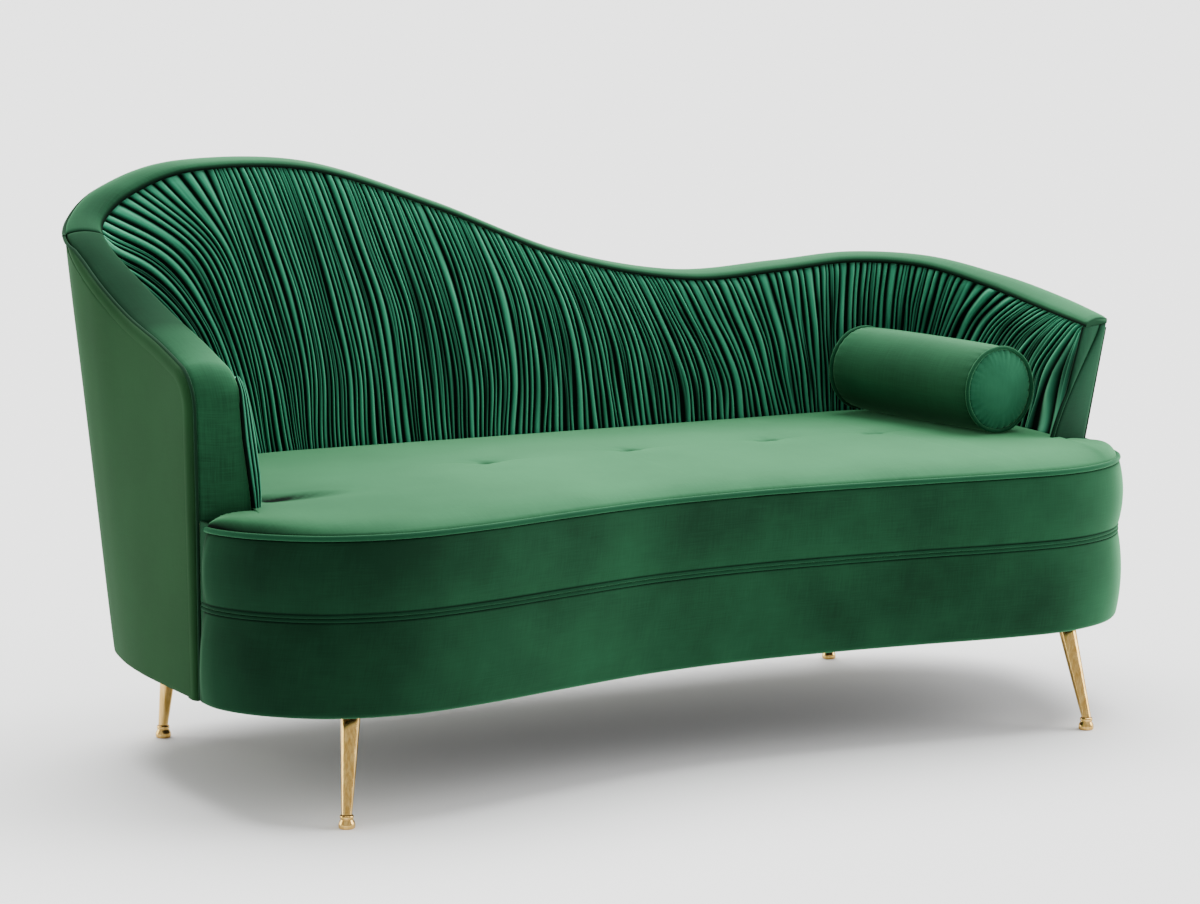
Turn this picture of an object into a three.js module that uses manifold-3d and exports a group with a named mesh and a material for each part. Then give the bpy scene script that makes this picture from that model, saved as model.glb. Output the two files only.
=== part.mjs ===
// A fainting couch: curved base on four splayed legs, gathered back that falls to one side, loose bolster.
// Millimetres, +X to the sitter's left as seen from the front, +Y to the back, +Z up, floor at z = 0.
import * as THREE from "three";
import { mergeVertices } from "three/addons/utils/BufferGeometryUtils.js";
import Module from "manifold-3d";

const wasm = await Module();
wasm.setup();

// Overall sizes. The plan outlines below are shares of half the length and half the depth.
const overallLength = 1752;
const overallDepth = 910;
const backEdgeHeight = 915;
const armHeight = 640;
const legHeight = 160;
const grooveHeight = 309;
const seatEdgeHeight = 430;
const seatRise = 17;
const seatCrown = 8;
const seatBackHeight = seatEdgeHeight + seatRise;
const halfLength = overallLength / 2;
const halfDepth = overallDepth / 2;

// Fits
const touchGap = 0.3;
const endGap = 2;
const looseGap = 4;
const holeSegments = 5;

// Outer wall and its border
const shellThickness = 12;
const borderThickness = 8;
const borderCrown = 8;
const armCornerRadius = 45;
const padThickness = 20;
const foldDepth = 6;
const foldCount = 98;
const pipingRadius = 3.2;
const foldKneeShare = 0.4;

// Wooden frame
const deckThickness = 12;
const deckHeight = 300;
const railThickness = 22;
const topRailDepth = 24;
const topRailHeight = 40;
const postDepth = 16;
const slatWidth = 40;
const slatHeight = 60;
const slatPlaces = { left: -0.5, middle: 0.15, right: 0.415 };
const postStations = {
  left_arm: 0.7,
  left_corner: 4,
  back_left: 6.7,
  back_middle: 9.3,
  back_right: 12,
  right_corner: 14.3,
  right_arm: 15.6,
};

// Bands, welts and dust cover
const bandThickness = 12;
const bandBulge = 9;
const weltRadius = 4.2;
const twinWeltRadius = 3;
const topPadLip = 6;
const bandEdgeShare = 0.06;
const bandRollShare = 0.18;
const bandMidShare = 0.5;
const dustCoverThickness = 2;

// Seat top and its tufts, placed as shares from its left to its right and from its front to its back
const edgeRoll = 45;
const tuftShares = [0.3704, 0.4693, 0.5627, 0.6442];
const tuftRowShare = 0.558;
const tuftDepth = 13;
const tuftHalfLength = 34;
const tuftHalfWidth = 20;
const tuftFlat = 13;
const tieRadius = 1.6;
const tieHeadRadius = 6;
const tieHeadThickness = 2;
const tieWasherRadius = 12;
const tieWasherThickness = 2.5;
const tieClearance = 0.6;

// Legs
const legTopRadius = 15;
const legBottomRadius = 7.5;
const footRadius = 12.5;
const footHeight = 20;
const footNeckRadius = 8.5;
const footCollarRadius = 10;
const studRadius = 4;
const studDepth = 14;
const studClearance = 0.4;
const legPlateSide = 56;
const legPlateThickness = 6;
const legPlateOffset = 20;
const blockSide = 60;
const blockOffset = 45;
const legSideCount = 14;

// Bolster
const bolsterRadius = 74;
const bolsterLengthShare = 0.428;
const bolsterLength = overallDepth * bolsterLengthShare;
const bolsterSwell = 2;
const bolsterCapDome = 10;
const bolsterCapThickness = 14;
const bolsterGather = 1.6;
const bolsterWeltRadius = 3.5;
const bolsterPlaceShares = [0.7045, 0.078];
const bolsterTurn = 0.1;
const bolsterSideCount = 24;
const bolsterGatherCount = 18;
const bolsterCapRingShares = [0.4, 0.75, 1];

// Plan outlines, from the left arm round to the right arm, one row for each station
const outerBaseShares = [
  [-0.962, -0.448], [-0.967, -0.202], [-0.968, 0.04], [-0.957, 0.248], [-0.933, 0.435], [-0.877, 0.6],
  [-0.79, 0.703], [-0.664, 0.747], [-0.447, 0.76], [-0.185, 0.756], [0.078, 0.738], [0.34, 0.714],
  [0.551, 0.686], [0.728, 0.629], [0.86, 0.479], [0.939, 0.237], [0.954, -0.088], [0.814, -0.448],
];
const outerTopShares = [
  [-0.97, -0.462], [-0.974, -0.202], [-0.984, 0.051], [-0.998, 0.281], [-0.995, 0.49], [-0.959, 0.677],
  [-0.87, 0.835], [-0.71, 0.945], [-0.447, 0.996], [-0.185, 0.978], [0.078, 0.936], [0.34, 0.897],
  [0.568, 0.862], [0.757, 0.798], [0.905, 0.633], [0.989, 0.336], [0.995, -0.026], [0.955, -0.387],
];
const innerSeatShares = [
  [-0.866, -0.514], [-0.862, -0.246], [-0.849, 0.007], [-0.818, 0.248], [-0.756, 0.457], [-0.676, 0.571],
  [-0.584, 0.615], [-0.47, 0.615], [-0.316, 0.602], [-0.139, 0.589], [0.146, 0.576], [0.414, 0.567],
  [0.574, 0.567], [0.688, 0.552], [0.783, 0.457], [0.837, 0.248], [0.846, -0.07], [0.806, -0.481],
];
const innerTopShares = [
  [-0.874, -0.523], [-0.874, -0.22], [-0.885, 0.029], [-0.908, 0.248], [-0.922, 0.457], [-0.9, 0.637],
  [-0.818, 0.743], [-0.682, 0.791], [-0.447, 0.815], [-0.185, 0.793], [0.078, 0.752], [0.34, 0.712],
  [0.551, 0.677], [0.705, 0.644], [0.831, 0.512], [0.9, 0.27], [0.909, -0.048], [0.879, -0.455],
];
// Height of the back's top edge at each station, from the arms' height at 0 to the back's at 1
const topRiseShares = [
  0, 0.135, 0.255, 0.433, 0.6, 0.72, 0.873, 0.985, 0.956, 0.691, 0.36, 0.193, 0.222, 0.262, 0.233, 0.135,
  0.051, -0.007,
];
// Front outline of the base, from the left arm's seam round the front to the right side's seam
const bandShares = [
  [-0.96, -0.462], [-0.952, -0.62], [-0.902, -0.778], [-0.813, -0.91], [-0.687, -0.971], [-0.539, -0.945],
  [-0.356, -0.868], [-0.174, -0.802], [0.009, -0.782], [0.192, -0.8], [0.374, -0.84], [0.546, -0.888],
  [0.683, -0.897], [0.791, -0.829], [0.868, -0.69], [0.909, -0.51], [0.938, -0.301], [0.955, -0.105],
];
// The inner back's station that faces each station of the front outline. Past either end, it lies before the arm.
const seatBackShares = [
  -1, -0.4, 0, 1, 3.4, 6.1, 7.75, 8.85, 9.5, 10.15, 10.8, 11.6, 13.4, 16.8, 17.3, 17.7, 18, 18,
];
const seatStartShare = 0.4;
const seatEndShare = 15.4;

const stations = outerTopShares.length - 1;
const columnCountPerStation = 3;
const wallSteps = stations * columnCountPerStation;
const rightSeam = (stations - 1) / stations;
const crossSeam = 4 / stations;

const up = new THREE.Vector3(0, 0, 1);
const group = new THREE.Group();

// A smooth curve through rows of numbers, at u from 0 on the first row to 1 on the last
function smooth(rows, u) {
  const last = rows.length - 1;
  const at = Math.min(Math.max(u, 0), 1) * last;
  const i = Math.min(Math.floor(at), last - 1);
  const t = at - i;
  const row = (k) => [rows[Math.min(Math.max(k, 0), last)]].flat();
  const ahead = row(i + 1);
  const before = i > 0 ? row(i - 1) : row(0).map((v, c) => 2 * v - row(1)[c]);
  const beyond = i + 2 <= last ? row(i + 2) : row(last).map((v, c) => 2 * v - row(last - 1)[c]);
  return row(i).map((b, c) => {
    const a = before[c];
    const d = ahead[c];
    const e = beyond[c];
    const square = 2 * a - 5 * b + 4 * d - e;
    const cube = 3 * b - a - 3 * d + e;
    return (2 * b + (d - a) * t + square * t * t + cube * t * t * t) / 2;
  });
}

function planPoint(shares, u, z) {
  const [x, y] = smooth(shares, u);
  return new THREE.Vector3(x * halfLength, y * halfDepth, z);
}

// The point of a surface moved sideways along its plan normal, to the right of the way it runs
function moved(surface, u, z, distance) {
  const step = 1 / (stations * stations);
  const a = surface(Math.max(u - step, 0), z);
  const b = surface(Math.min(u + step, 1), z);
  const along = b.sub(a).setZ(0).normalize();
  return surface(u, z).add(new THREE.Vector3(along.y, -along.x, 0).multiplyScalar(distance));
}

const range = (n, from = 0, to = 1) =>
  Array.from({ length: n + 1 }, (_, i) => from + ((to - from) * i) / n);

const leftRun = planPoint(outerTopShares, 0, 0).distanceTo(planPoint(outerTopShares, 1 / stations, 0));
const rightRun = planPoint(outerTopShares, 1, 0).distanceTo(planPoint(outerTopShares, rightSeam, 0));
const leftShare = (run) => run / (leftRun * stations);
const rightShare = (run) => 1 - run / (rightRun * stations);

function slopeHeight(u) {
  return armHeight + smooth(topRiseShares, u)[0] * (backEdgeHeight - armHeight);
}

// Height of the wall's top edge, less an inset, with the left arm's rounded front corner
function topHeight(u, inset) {
  const run = u * leftRun * stations;
  if (run >= armCornerRadius) return slopeHeight(u) - inset;
  const flat = armCornerRadius - run;
  const radius = armCornerRadius - inset;
  return slopeHeight(u) - armCornerRadius + Math.sqrt(Math.max(radius * radius - flat * flat, 0));
}

function outerWall(u, z) {
  const rise = (z - legHeight) / (slopeHeight(u) - legHeight);
  return planPoint(outerBaseShares, u, z).lerp(planPoint(outerTopShares, u, z), rise);
}

function innerWall(u, z) {
  const rise = THREE.MathUtils.clamp((z - seatBackHeight) / (slopeHeight(u) - seatBackHeight), 0, 1);
  return planPoint(innerSeatShares, u, z).lerp(planPoint(innerTopShares, u, z), rise);
}

// Depths inside the wall are measured along the line from the outer to the inner top edge
function acrossWall(u) {
  return planPoint(innerTopShares, u, 0).sub(planPoint(outerTopShares, u, 0)).normalize();
}
const insideOuter = (u, z, depth) => outerWall(u, z).addScaledVector(acrossWall(u), depth);
const behindInner = (u, z, depth) => innerWall(u, z).addScaledVector(acrossWall(u), -depth);
const bandOutline = (u, z) => planPoint(bandShares, u, z);
const insideBand = (u, z, depth) => moved(bandOutline, u, z, -depth);

// Columns that every piece of the wall shares, so that their flat facets lie face to face
const wallInset = borderThickness + touchGap;
const cornerAngles = range(4, 0, Math.PI / 2);
const cornerColumns = cornerAngles.map((a) =>
  leftShare(armCornerRadius - (armCornerRadius - wallInset) * Math.cos(a)),
);
const innerColumns = range(wallSteps - 3, 2 / wallSteps, 1 - 1 / wallSteps);
const wallColumns = [...cornerColumns, ...innerColumns, rightShare(borderThickness + endGap)];
const bandColumns = range(wallSteps);

function geometryFrom(points, faces) {
  const flat = [];
  points.forEach((p) => flat.push(p.x, p.y, p.z));
  let volume = 0;
  for (let i = 0; i < faces.length; i += 3) {
    const [a, b, c] = [points[faces[i]], points[faces[i + 1]], points[faces[i + 2]]];
    volume += a.dot(new THREE.Vector3().crossVectors(b, c));
  }
  if (volume < 0) faces.reverse();
  const geometry = new THREE.BufferGeometry();
  geometry.setAttribute("position", new THREE.Float32BufferAttribute(flat, 3));
  geometry.setIndex(faces);
  return geometry;
}

// A closed solid between a front surface with all its rows and a back that is straight from edge to edge
function lid(front, back, us, vs) {
  const rows = vs.length;
  const points = [];
  const faces = [];
  us.forEach((u) => vs.forEach((v) => points.push(front(u, v))));
  us.forEach((u) => points.push(back(u, vs[0]), back(u, vs[rows - 1])));
  const f = (i, j) => i * rows + j;
  const b = (i, k) => us.length * rows + i * 2 + k;
  const quad = (p, q, r, s) => faces.push(p, q, r, p, r, s);
  for (let i = 0; i < us.length - 1; i++) {
    for (let j = 0; j < rows - 1; j++) quad(f(i, j), f(i + 1, j), f(i + 1, j + 1), f(i, j + 1));
    quad(b(i, 0), b(i, 1), b(i + 1, 1), b(i + 1, 0));
    quad(f(i, 0), b(i, 0), b(i + 1, 0), f(i + 1, 0));
    quad(f(i, rows - 1), f(i + 1, rows - 1), b(i + 1, 1), b(i, 1));
  }
  const end = us.length - 1;
  for (let j = 0; j < rows - 1; j++) {
    faces.push(b(0, 0), f(0, j), f(0, j + 1));
    faces.push(b(end, 0), f(end, j + 1), f(end, j));
  }
  faces.push(b(0, 0), f(0, rows - 1), b(0, 1));
  faces.push(b(end, 0), b(end, 1), f(end, rows - 1));
  return geometryFrom(points, faces);
}

// A round cord through points, each with the direction in which its surface faces
function bead(points, facings, radius, sides = 6) {
  const ring = points.map((p, i) => {
    const next = points[Math.min(i + 1, points.length - 1)];
    const along = next.clone().sub(points[Math.max(i - 1, 0)]).normalize();
    const side = new THREE.Vector3().crossVectors(along, facings[i]).normalize();
    const out = new THREE.Vector3().crossVectors(side, along).normalize();
    return range(sides, 0, 2 * Math.PI).slice(1).map((a) =>
      p.clone().addScaledVector(out, radius * Math.cos(a)).addScaledVector(side, radius * Math.sin(a)),
    );
  });
  const all = [...ring.flat(), points[0], points[points.length - 1]];
  const faces = [];
  const at = (i, k) => i * sides + (k % sides);
  const last = ring.length - 1;
  for (let i = 0; i < last; i++)
    for (let k = 0; k < sides; k++)
      faces.push(at(i, k), at(i, k + 1), at(i + 1, k + 1), at(i, k), at(i + 1, k + 1), at(i + 1, k));
  for (let k = 0; k < sides; k++) {
    faces.push(all.length - 2, at(0, k + 1), at(0, k));
    faces.push(all.length - 1, at(last, k), at(last, k + 1));
  }
  return geometryFrom(all, faces);
}

// A flat board from its outline points and round or square holes, its underside at a height
function board(outline, holes, bottom, thickness) {
  const plate = extruded(new THREE.Shape(outline.map((p) => new THREE.Vector2(p.x, p.y))), thickness);
  const cutters = holes.map(({ x, y, radius, side }) => {
    const cutter = radius
      ? new THREE.CylinderGeometry(radius, radius, thickness * 3, holeSegments * 2).rotateX(Math.PI / 2)
      : new THREE.BoxGeometry(side, side, thickness * 3);
    return cutter.translate(x, y, thickness / 2);
  });
  return cutBy(plate, cutters).translate(0, 0, bottom);
}

function extruded(shape, depth) {
  return new THREE.ExtrudeGeometry(shape, { depth, bevelEnabled: false, curveSegments: holeSegments });
}

function squareCorners(x, y, side) {
  const half = side / 2;
  const signs = [[-1, -1], [1, -1], [1, 1], [-1, 1]];
  return signs.map(([i, j]) => new THREE.Vector2(x + i * half, y + j * half));
}

// A turned piece about the z axis, from radius and height pairs that start and end on the axis
function turned(profile, sides) {
  const points = profile.map(([r, z]) => new THREE.Vector2(r, z));
  return new THREE.LatheGeometry(points, sides).rotateX(Math.PI / 2);
}

function solidFrom(geometry) {
  const bare = geometry.index ? geometry.toNonIndexed() : geometry.clone();
  bare.deleteAttribute("normal");
  bare.deleteAttribute("uv");
  const merged = mergeVertices(bare);
  return new wasm.Manifold(
    new wasm.Mesh({
      numProp: 3,
      vertProperties: merged.attributes.position.array,
      triVerts: new Uint32Array(merged.index.array),
    }),
  );
}

function cutBy(geometry, cutters) {
  const left = cutters.reduce((solid, cutter) => solid.subtract(solidFrom(cutter)), solidFrom(geometry));
  const mesh = left.getMesh();
  const cut = new THREE.BufferGeometry();
  cut.setAttribute("position", new THREE.Float32BufferAttribute(mesh.vertProperties, mesh.numProp));
  cut.setIndex(Array.from(mesh.triVerts));
  return cut;
}

// Finishes: colour, roughness and metalness
const velvet = [0x17633c, 0.85, 0];
const velvetShade = [0x0f4a2c, 0.9, 0];
const gold = [0xd9a441, 0.18, 1];
const timber = [0xb88a5a, 0.7, 0];
const steel = [0x9a9a9c, 0.4, 1];
const liningCloth = [0x2b2b2b, 0.95, 0];

function add(name, geometry, [colour, roughness, metalness], parent = group) {
  const mesh = new THREE.Mesh(
    geometry,
    new THREE.MeshStandardMaterial({ color: colour, roughness, metalness }),
  );
  mesh.name = name;
  parent.add(mesh);
  return mesh;
}

// The outer wall, from the base's foot to the border. In front of the right seam it stops above the seat.
const rightSeamFront = rightSeam + (1 - rightShare(1));
const armFootHeight = seatEdgeHeight + borderThickness;
function wallFoot(u) {
  return u > rightSeam + (rightSeamFront - rightSeam) / 2 ? armFootHeight : legHeight;
}
function outerShell() {
  const us = [...wallColumns, rightSeamFront].sort((a, b) => a - b);
  const height = (u, v) => THREE.MathUtils.lerp(wallFoot(u), topHeight(u, wallInset), v);
  return lid(
    (u, v) => outerWall(u, height(u, v)),
    (u, v) => insideOuter(u, height(u, v), shellThickness),
    us,
    [0, 1],
  );
}
add("outer_back_shell", outerShell(), velvet);

// The gathered inner back: a padded panel whose face stands in narrow folds
function gatheredBack() {
  const foot = deckHeight + touchGap;
  const us = range(foldCount * 2, leftShare(wallInset + foldDepth), rightShare(wallInset + foldDepth));
  const height = (u, v) => {
    const top = topHeight(u, wallInset + foldDepth);
    if (v <= foldKneeShare) return THREE.MathUtils.lerp(foot, seatBackHeight, v / foldKneeShare);
    return THREE.MathUtils.lerp(seatBackHeight, top, (v - foldKneeShare) / (1 - foldKneeShare));
  };
  const groove = (u) => (us.indexOf(u) % 2 ? foldDepth : 0);
  return lid(
    (u, v) => behindInner(u, height(u, v), v > 0 && v < 1 ? groove(u) : foldDepth / 2),
    (u, v) => behindInner(u, height(u, v), padThickness),
    us,
    [0, foldKneeShare, (1 + foldKneeShare) / 2, 1],
  );
}
add("inner_back_gathered", gatheredBack(), velvetShade);

// The padded border on top of the wall, and its left run that turns down the arm's front
const crownAt = (t) => borderCrown * Math.sin(Math.PI * t);
function topBorder() {
  const us = wallColumns.filter((u) => u >= crossSeam - 1 / (wallSteps * 2));
  us[us.length - 1] = rightShare(touchGap);
  us[0] += leftShare(touchGap);
  const at = (u, inset) => (t) => {
    const z = topHeight(u, inset);
    return outerWall(u, z).lerp(innerWall(u, z), t);
  };
  return lid(
    (u, t) => at(u, 0)(t).addScaledVector(up, crownAt(t)),
    (u, t) => at(u, borderThickness)(t),
    us,
    range(4),
  );
}
add("back_top_border", topBorder(), velvet);

// Pairs of station and height down the left border: along the top, round the corner and down to the seat
function armBorderPath(inset) {
  const lastShare = crossSeam + 1 / (wallSteps * 2);
  const top = wallColumns.filter((u) => u < lastShare && u > leftShare(armCornerRadius));
  const path = top.reverse().map((u) => [u, topHeight(u, inset)]);
  cornerAngles.slice().reverse().forEach((a) => {
    const u = leftShare(armCornerRadius - (armCornerRadius - inset) * Math.cos(a));
    path.push([u, slopeHeight(u) - armCornerRadius + (armCornerRadius - inset) * Math.sin(a)]);
  });
  const [u, z] = path[path.length - 1];
  range(3, z, armFootHeight).slice(1).forEach((low) => path.push([u, low]));
  return path;
}
function leftArmBorder() {
  const outer = armBorderPath(0);
  const inner = armBorderPath(borderThickness);
  const on = (path, i, t) => outerWall(...path[i]).lerp(innerWall(...path[i]), t);
  return lid(
    (i, t) => {
      const outward = on(outer, i, t).sub(on(inner, i, t)).normalize();
      return on(outer, i, t).addScaledVector(outward, crownAt(t));
    },
    (i, t) => on(inner, i, t),
    range(outer.length - 1, 0, outer.length - 1),
    range(4),
  );
}
add("left_arm_border", leftArmBorder(), velvet);

// The end panel of the right arm, facing the front
function rightArmFront() {
  const height = (v) => THREE.MathUtils.lerp(armFootHeight, topHeight(1, wallInset), v);
  const on = (run, v, t) => {
    const u = rightShare(run);
    return outerWall(u, height(v)).lerp(innerWall(u, height(v)), t);
  };
  return lid(
    (v, t) => {
      const outward = on(0, v, t).sub(on(borderThickness, v, t)).normalize();
      return on(0, v, t).addScaledVector(outward, crownAt(t) / 2);
    },
    (v, t) => on(borderThickness, v, t),
    range(5),
    range(4),
  );
}
add("right_arm_front", rightArmFront(), velvet);

// Piping on the outer seams of the wall
const pipingOffset = pipingRadius + touchGap;
const outward = (u, z) => outerWall(u, z).sub(moved(outerWall, u, z, 1)).normalize();
function pipingAlong(path) {
  const facings = path.map(([u, z]) => outward(u, z));
  const points = path.map(([u, z], i) => outerWall(u, z).addScaledVector(facings[i], pipingOffset));
  return bead(points, facings, pipingRadius);
}
function leftArmPiping() {
  const path = armBorderPath(borderThickness / 2);
  path.pop();
  const [u, z] = path[path.length - 1];
  range(3, z, legHeight + pipingRadius).slice(1).forEach((low) => path.push([u, low]));
  path[0][0] -= leftShare(touchGap);
  return pipingAlong(path);
}
add("left_arm_piping", leftArmPiping(), velvetShade);
function backPiping() {
  const us = wallColumns.filter((u) => u >= crossSeam - 1 / (wallSteps * 2));
  us[0] += leftShare(touchGap);
  return pipingAlong(us.map((u) => [u, topHeight(u, borderThickness / 2)]));
}
add("back_top_piping", backPiping(), velvetShade);
function rightArmPiping() {
  const top = topHeight(1, borderThickness + pipingRadius * 2);
  const heights = range(3, top, armFootHeight + pipingRadius);
  return pipingAlong(heights.map((z) => [rightShare(borderThickness / 2), z]));
}
add("right_arm_piping", rightArmPiping(), velvetShade);

// Bands of the base: each bulges between its edges, which are set in behind the welts
function band(bottom, top, rowShares, offsets) {
  return lid(
    (u, v) => insideBand(u, THREE.MathUtils.lerp(bottom, top, v), offsets[rowShares.indexOf(v)]),
    (u, v) => insideBand(u, THREE.MathUtils.lerp(bottom, top, v), bandThickness),
    bandColumns,
    rowShares,
  );
}
const bandRowShares = [
  0, bandEdgeShare, bandRollShare, bandMidShare, 1 - bandRollShare, 1 - bandEdgeShare, 1,
];
const twinInset = twinWeltRadius + touchGap * 2;
const weltInset = weltRadius + touchGap * 2;
const rollOut = -bandBulge * bandMidShare;
const lowerTop = grooveHeight - touchGap;
const upperTop = seatEdgeHeight - topPadLip;
add(
  "lower_band",
  band(legHeight, lowerTop, bandRowShares, [
    weltInset, 0, rollOut, -bandBulge, rollOut, twinInset, twinInset,
  ]),
  velvet,
);
add(
  "upper_band",
  band(grooveHeight + touchGap, upperTop, bandRowShares, [
    twinInset, twinInset, rollOut, -bandBulge, rollOut, weltInset, weltInset,
  ]),
  velvet,
);

// Welts: one at the seat's edge and a pair in the groove between the bands
function weltAlong(z, radius) {
  const points = bandColumns.map((u) => bandOutline(u, z));
  const facings = bandColumns.map((u) => bandOutline(u, z).sub(insideBand(u, z, 1)).normalize());
  return bead(points, facings, radius);
}
const twinSpacing = twinWeltRadius + touchGap / 2;
add("seat_welt", weltAlong(seatEdgeHeight - weltRadius, weltRadius), velvetShade);
add("double_welt_upper", weltAlong(grooveHeight + twinSpacing, twinWeltRadius), velvetShade);
add("double_welt_lower", weltAlong(grooveHeight - twinSpacing, twinWeltRadius), velvetShade);

// The seat's top pad, crowned, between the front outline and the gathered back
const seatStart = seatStartShare / stations;
const seatEnd = seatEndShare / stations;
const seatFront = (u, z) => insideBand(u, z, weltInset);
const seatGap = looseGap + endGap;
const armFrontGap = borderCrown + seatGap + looseGap;
function seatRear(u, z) {
  const at = u * stations;
  const i = Math.floor(at);
  const facing = THREE.MathUtils.lerp(seatBackShares[i], seatBackShares[i + 1], at - i);
  const onWall = THREE.MathUtils.clamp(facing, 0, stations) / stations;
  const rear = moved(innerWall, onWall, seatBackHeight, seatGap).setZ(z);
  const past = Math.abs(facing - onWall * stations);
  const toEnd = Math.min(facing, stations - facing);
  rear.y -= armFrontGap * THREE.MathUtils.clamp(1 - toEnd, 0, 1);
  const armCorner = outerWall(onWall, seatEdgeHeight).setZ(z);
  return rear.lerp(armCorner.setY(armCorner.y - armFrontGap), past);
}
const seatSpan = (u, t, z) => seatFront(u, z).lerp(seatRear(u, z), t);
const seatReach = seatEnd - seatStart;
function seatHeight(u, t) {
  const depth = seatFront(u, 0).distanceTo(seatRear(u, 0));
  const fromFront = t * depth;
  const fromSide = Math.min(u - seatStart, seatEnd - u) * overallLength;
  const front = 1 - Math.exp(-fromFront / edgeRoll);
  const side = 1 - Math.exp(-fromSide / edgeRoll);
  const crown = seatCrown * Math.sin(Math.PI * t) * Math.sin((Math.PI * (u - seatStart)) / seatReach);
  return seatEdgeHeight + ((seatBackHeight - seatEdgeHeight) * front + crown) * side;
}
const tufts = tuftShares.map((u) => seatSpan(u, tuftRowShare, 0));
function tuftDip(point) {
  return Math.max(
    ...tufts.map((c) => {
      const along = Math.max(Math.abs(point.x - c.x) - tuftFlat, 0) / (tuftHalfLength - tuftFlat);
      const across = Math.max(Math.abs(point.y - c.y) - tuftFlat, 0) / (tuftHalfWidth - tuftFlat);
      return Math.max(1 - along, 0) * Math.max(1 - across, 0);
    }),
  );
}
const tuftBedHeight = seatBackHeight - tuftDepth;
function seatTop(u, t) {
  const plan = seatSpan(u, t, 0);
  const z = seatHeight(u, t);
  return plan.setZ(THREE.MathUtils.lerp(z, tuftBedHeight, tuftDip(plan)));
}
// Columns and rows gather round each tuft and along the front edge
function seatGrid() {
  const bed = tieHeadRadius + endGap;
  const widths = [-tuftHalfLength, -bed, bed, tuftHalfLength];
  const step = 1 / wallSteps;
  const us = [seatStart, ...bandColumns.filter((u) => u > seatStart && u < seatEnd), seatEnd];
  tuftShares.forEach((u) => {
    const run = seatSpan(u - step, tuftRowShare, 0).distanceTo(seatSpan(u + step, tuftRowShare, 0));
    us.push(...widths.map((w) => u + (2 * step * w) / run));
  });
  const depth = seatFront(tuftShares[0], 0).distanceTo(seatRear(tuftShares[0], 0));
  const ts = [0, edgeRoll / depth / 3, edgeRoll / depth, (3 * edgeRoll) / depth, 1 - edgeRoll / depth, 1];
  ts.push(...[-tuftHalfWidth, -bed, bed, tuftHalfWidth].map((w) => tuftRowShare + w / depth));
  const sorted = (list) => list.sort((a, b) => a - b);
  return [sorted(us), sorted(ts)];
}
function seatTopPad() {
  const [us, ts] = seatGrid();
  return lid(seatTop, (u, t) => seatSpan(u, t, upperTop + touchGap), us, ts);
}
function tieBore(z, depth) {
  return tufts.map(({ x, y }) =>
    new THREE.CylinderGeometry(tieRadius + tieClearance, tieRadius + tieClearance, depth, 8)
      .rotateX(Math.PI / 2)
      .translate(x, y, z),
  );
}
const seatPad = add(
  "seat_top_pad",
  cutBy(seatTopPad(), tieBore(seatEdgeHeight, seatEdgeHeight - legHeight)),
  velvet,
);

// The foam block under the top pad, the deck, and the cloth under the base
const foamInset = bandThickness + touchGap;
const outlineFront = (inset, z, to) => {
  const us = bandColumns.filter((u) => u <= to);
  return us.map((u) => insideBand(u, z, inset));
};
const tieHoles = tufts.map(({ x, y }) => ({ x, y, radius: tieRadius + tieClearance }));
function foamBlock() {
  const us = bandColumns.filter((u) => u > seatStart && u < seatEnd);
  const front = us.map((u) => insideBand(u, 0, foamInset));
  const rear = us.reverse().map((u) => seatRear(u, 0));
  const bottom = deckHeight + touchGap;
  return board([...front, ...rear], tieHoles, bottom, upperTop - bottom);
}
add("seat_foam", foamBlock(), [0xe8dcae, 0.95, 0]);
function baseOutline(z) {
  const front = outlineFront(bandThickness + seatGap, z, 1).slice(1, -1);
  const us = wallColumns.filter((u) => u > leftShare(armCornerRadius) && u < rightSeam - leftShare(seatGap));
  return [...front, ...us.reverse().map((u) => insideOuter(u, z, shellThickness + looseGap))];
}
add(
  "seat_deck",
  board(
    baseOutline(deckHeight - deckThickness),
    tieHoles,
    deckHeight - deckThickness,
    deckThickness,
  ),
  timber,
);

// Legs: where each foot stands and how far its top leans in, as shares of the half sizes
const legPlaces = [
  { name: "front_left", footShares: [-0.795, -0.93], leanShares: [0.035, 0.11] },
  { name: "front_right", footShares: [0.71, -0.938], leanShares: [0.001, 0.132] },
  { name: "back_left", footShares: [-0.825, 0.525], leanShares: [0.011, -0.037] },
  { name: "back_right", footShares: [0.627, 0.534], leanShares: [-0.014, -0.055] },
];
const inPlan = ([x, y]) => new THREE.Vector3(x * halfLength, y * halfDepth, 0);
const legLength = legHeight - touchGap * 2 - footHeight;
function legSolid(lean) {
  const bore = studRadius + studClearance;
  const leg = turned([[0, 0], [legBottomRadius, 0], [legTopRadius, legLength], [0, legLength]], legSideCount);
  const shear = new THREE.Matrix4();
  shear.elements[8] = lean.x / legLength;
  shear.elements[9] = lean.y / legLength;
  const drill = new THREE.CylinderGeometry(bore, bore, studDepth * 2, legSideCount).rotateX(Math.PI / 2);
  return cutBy(leg.applyMatrix4(shear), [drill.translate(lean.x, lean.y, legLength)]);
}
function footSolid() {
  const lip = footHeight / 7;
  return turned(
    [[0, 0], [footRadius - lip / 2, 0], [footRadius, lip], [footRadius, footHeight * 0.6],
      [footNeckRadius, footHeight * 0.78], [footNeckRadius, footHeight * 0.86],
      [footCollarRadius, footHeight * 0.9], [footCollarRadius, footHeight], [0, footHeight]],
    legSideCount,
  );
}
function ringPlate(side, thickness, hole, holeX, holeY) {
  const shape = new THREE.Shape(squareCorners(0, 0, side));
  shape.holes.push(new THREE.Path().absarc(holeX, holeY, hole, 0, 2 * Math.PI));
  return extruded(shape, thickness);
}
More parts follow.
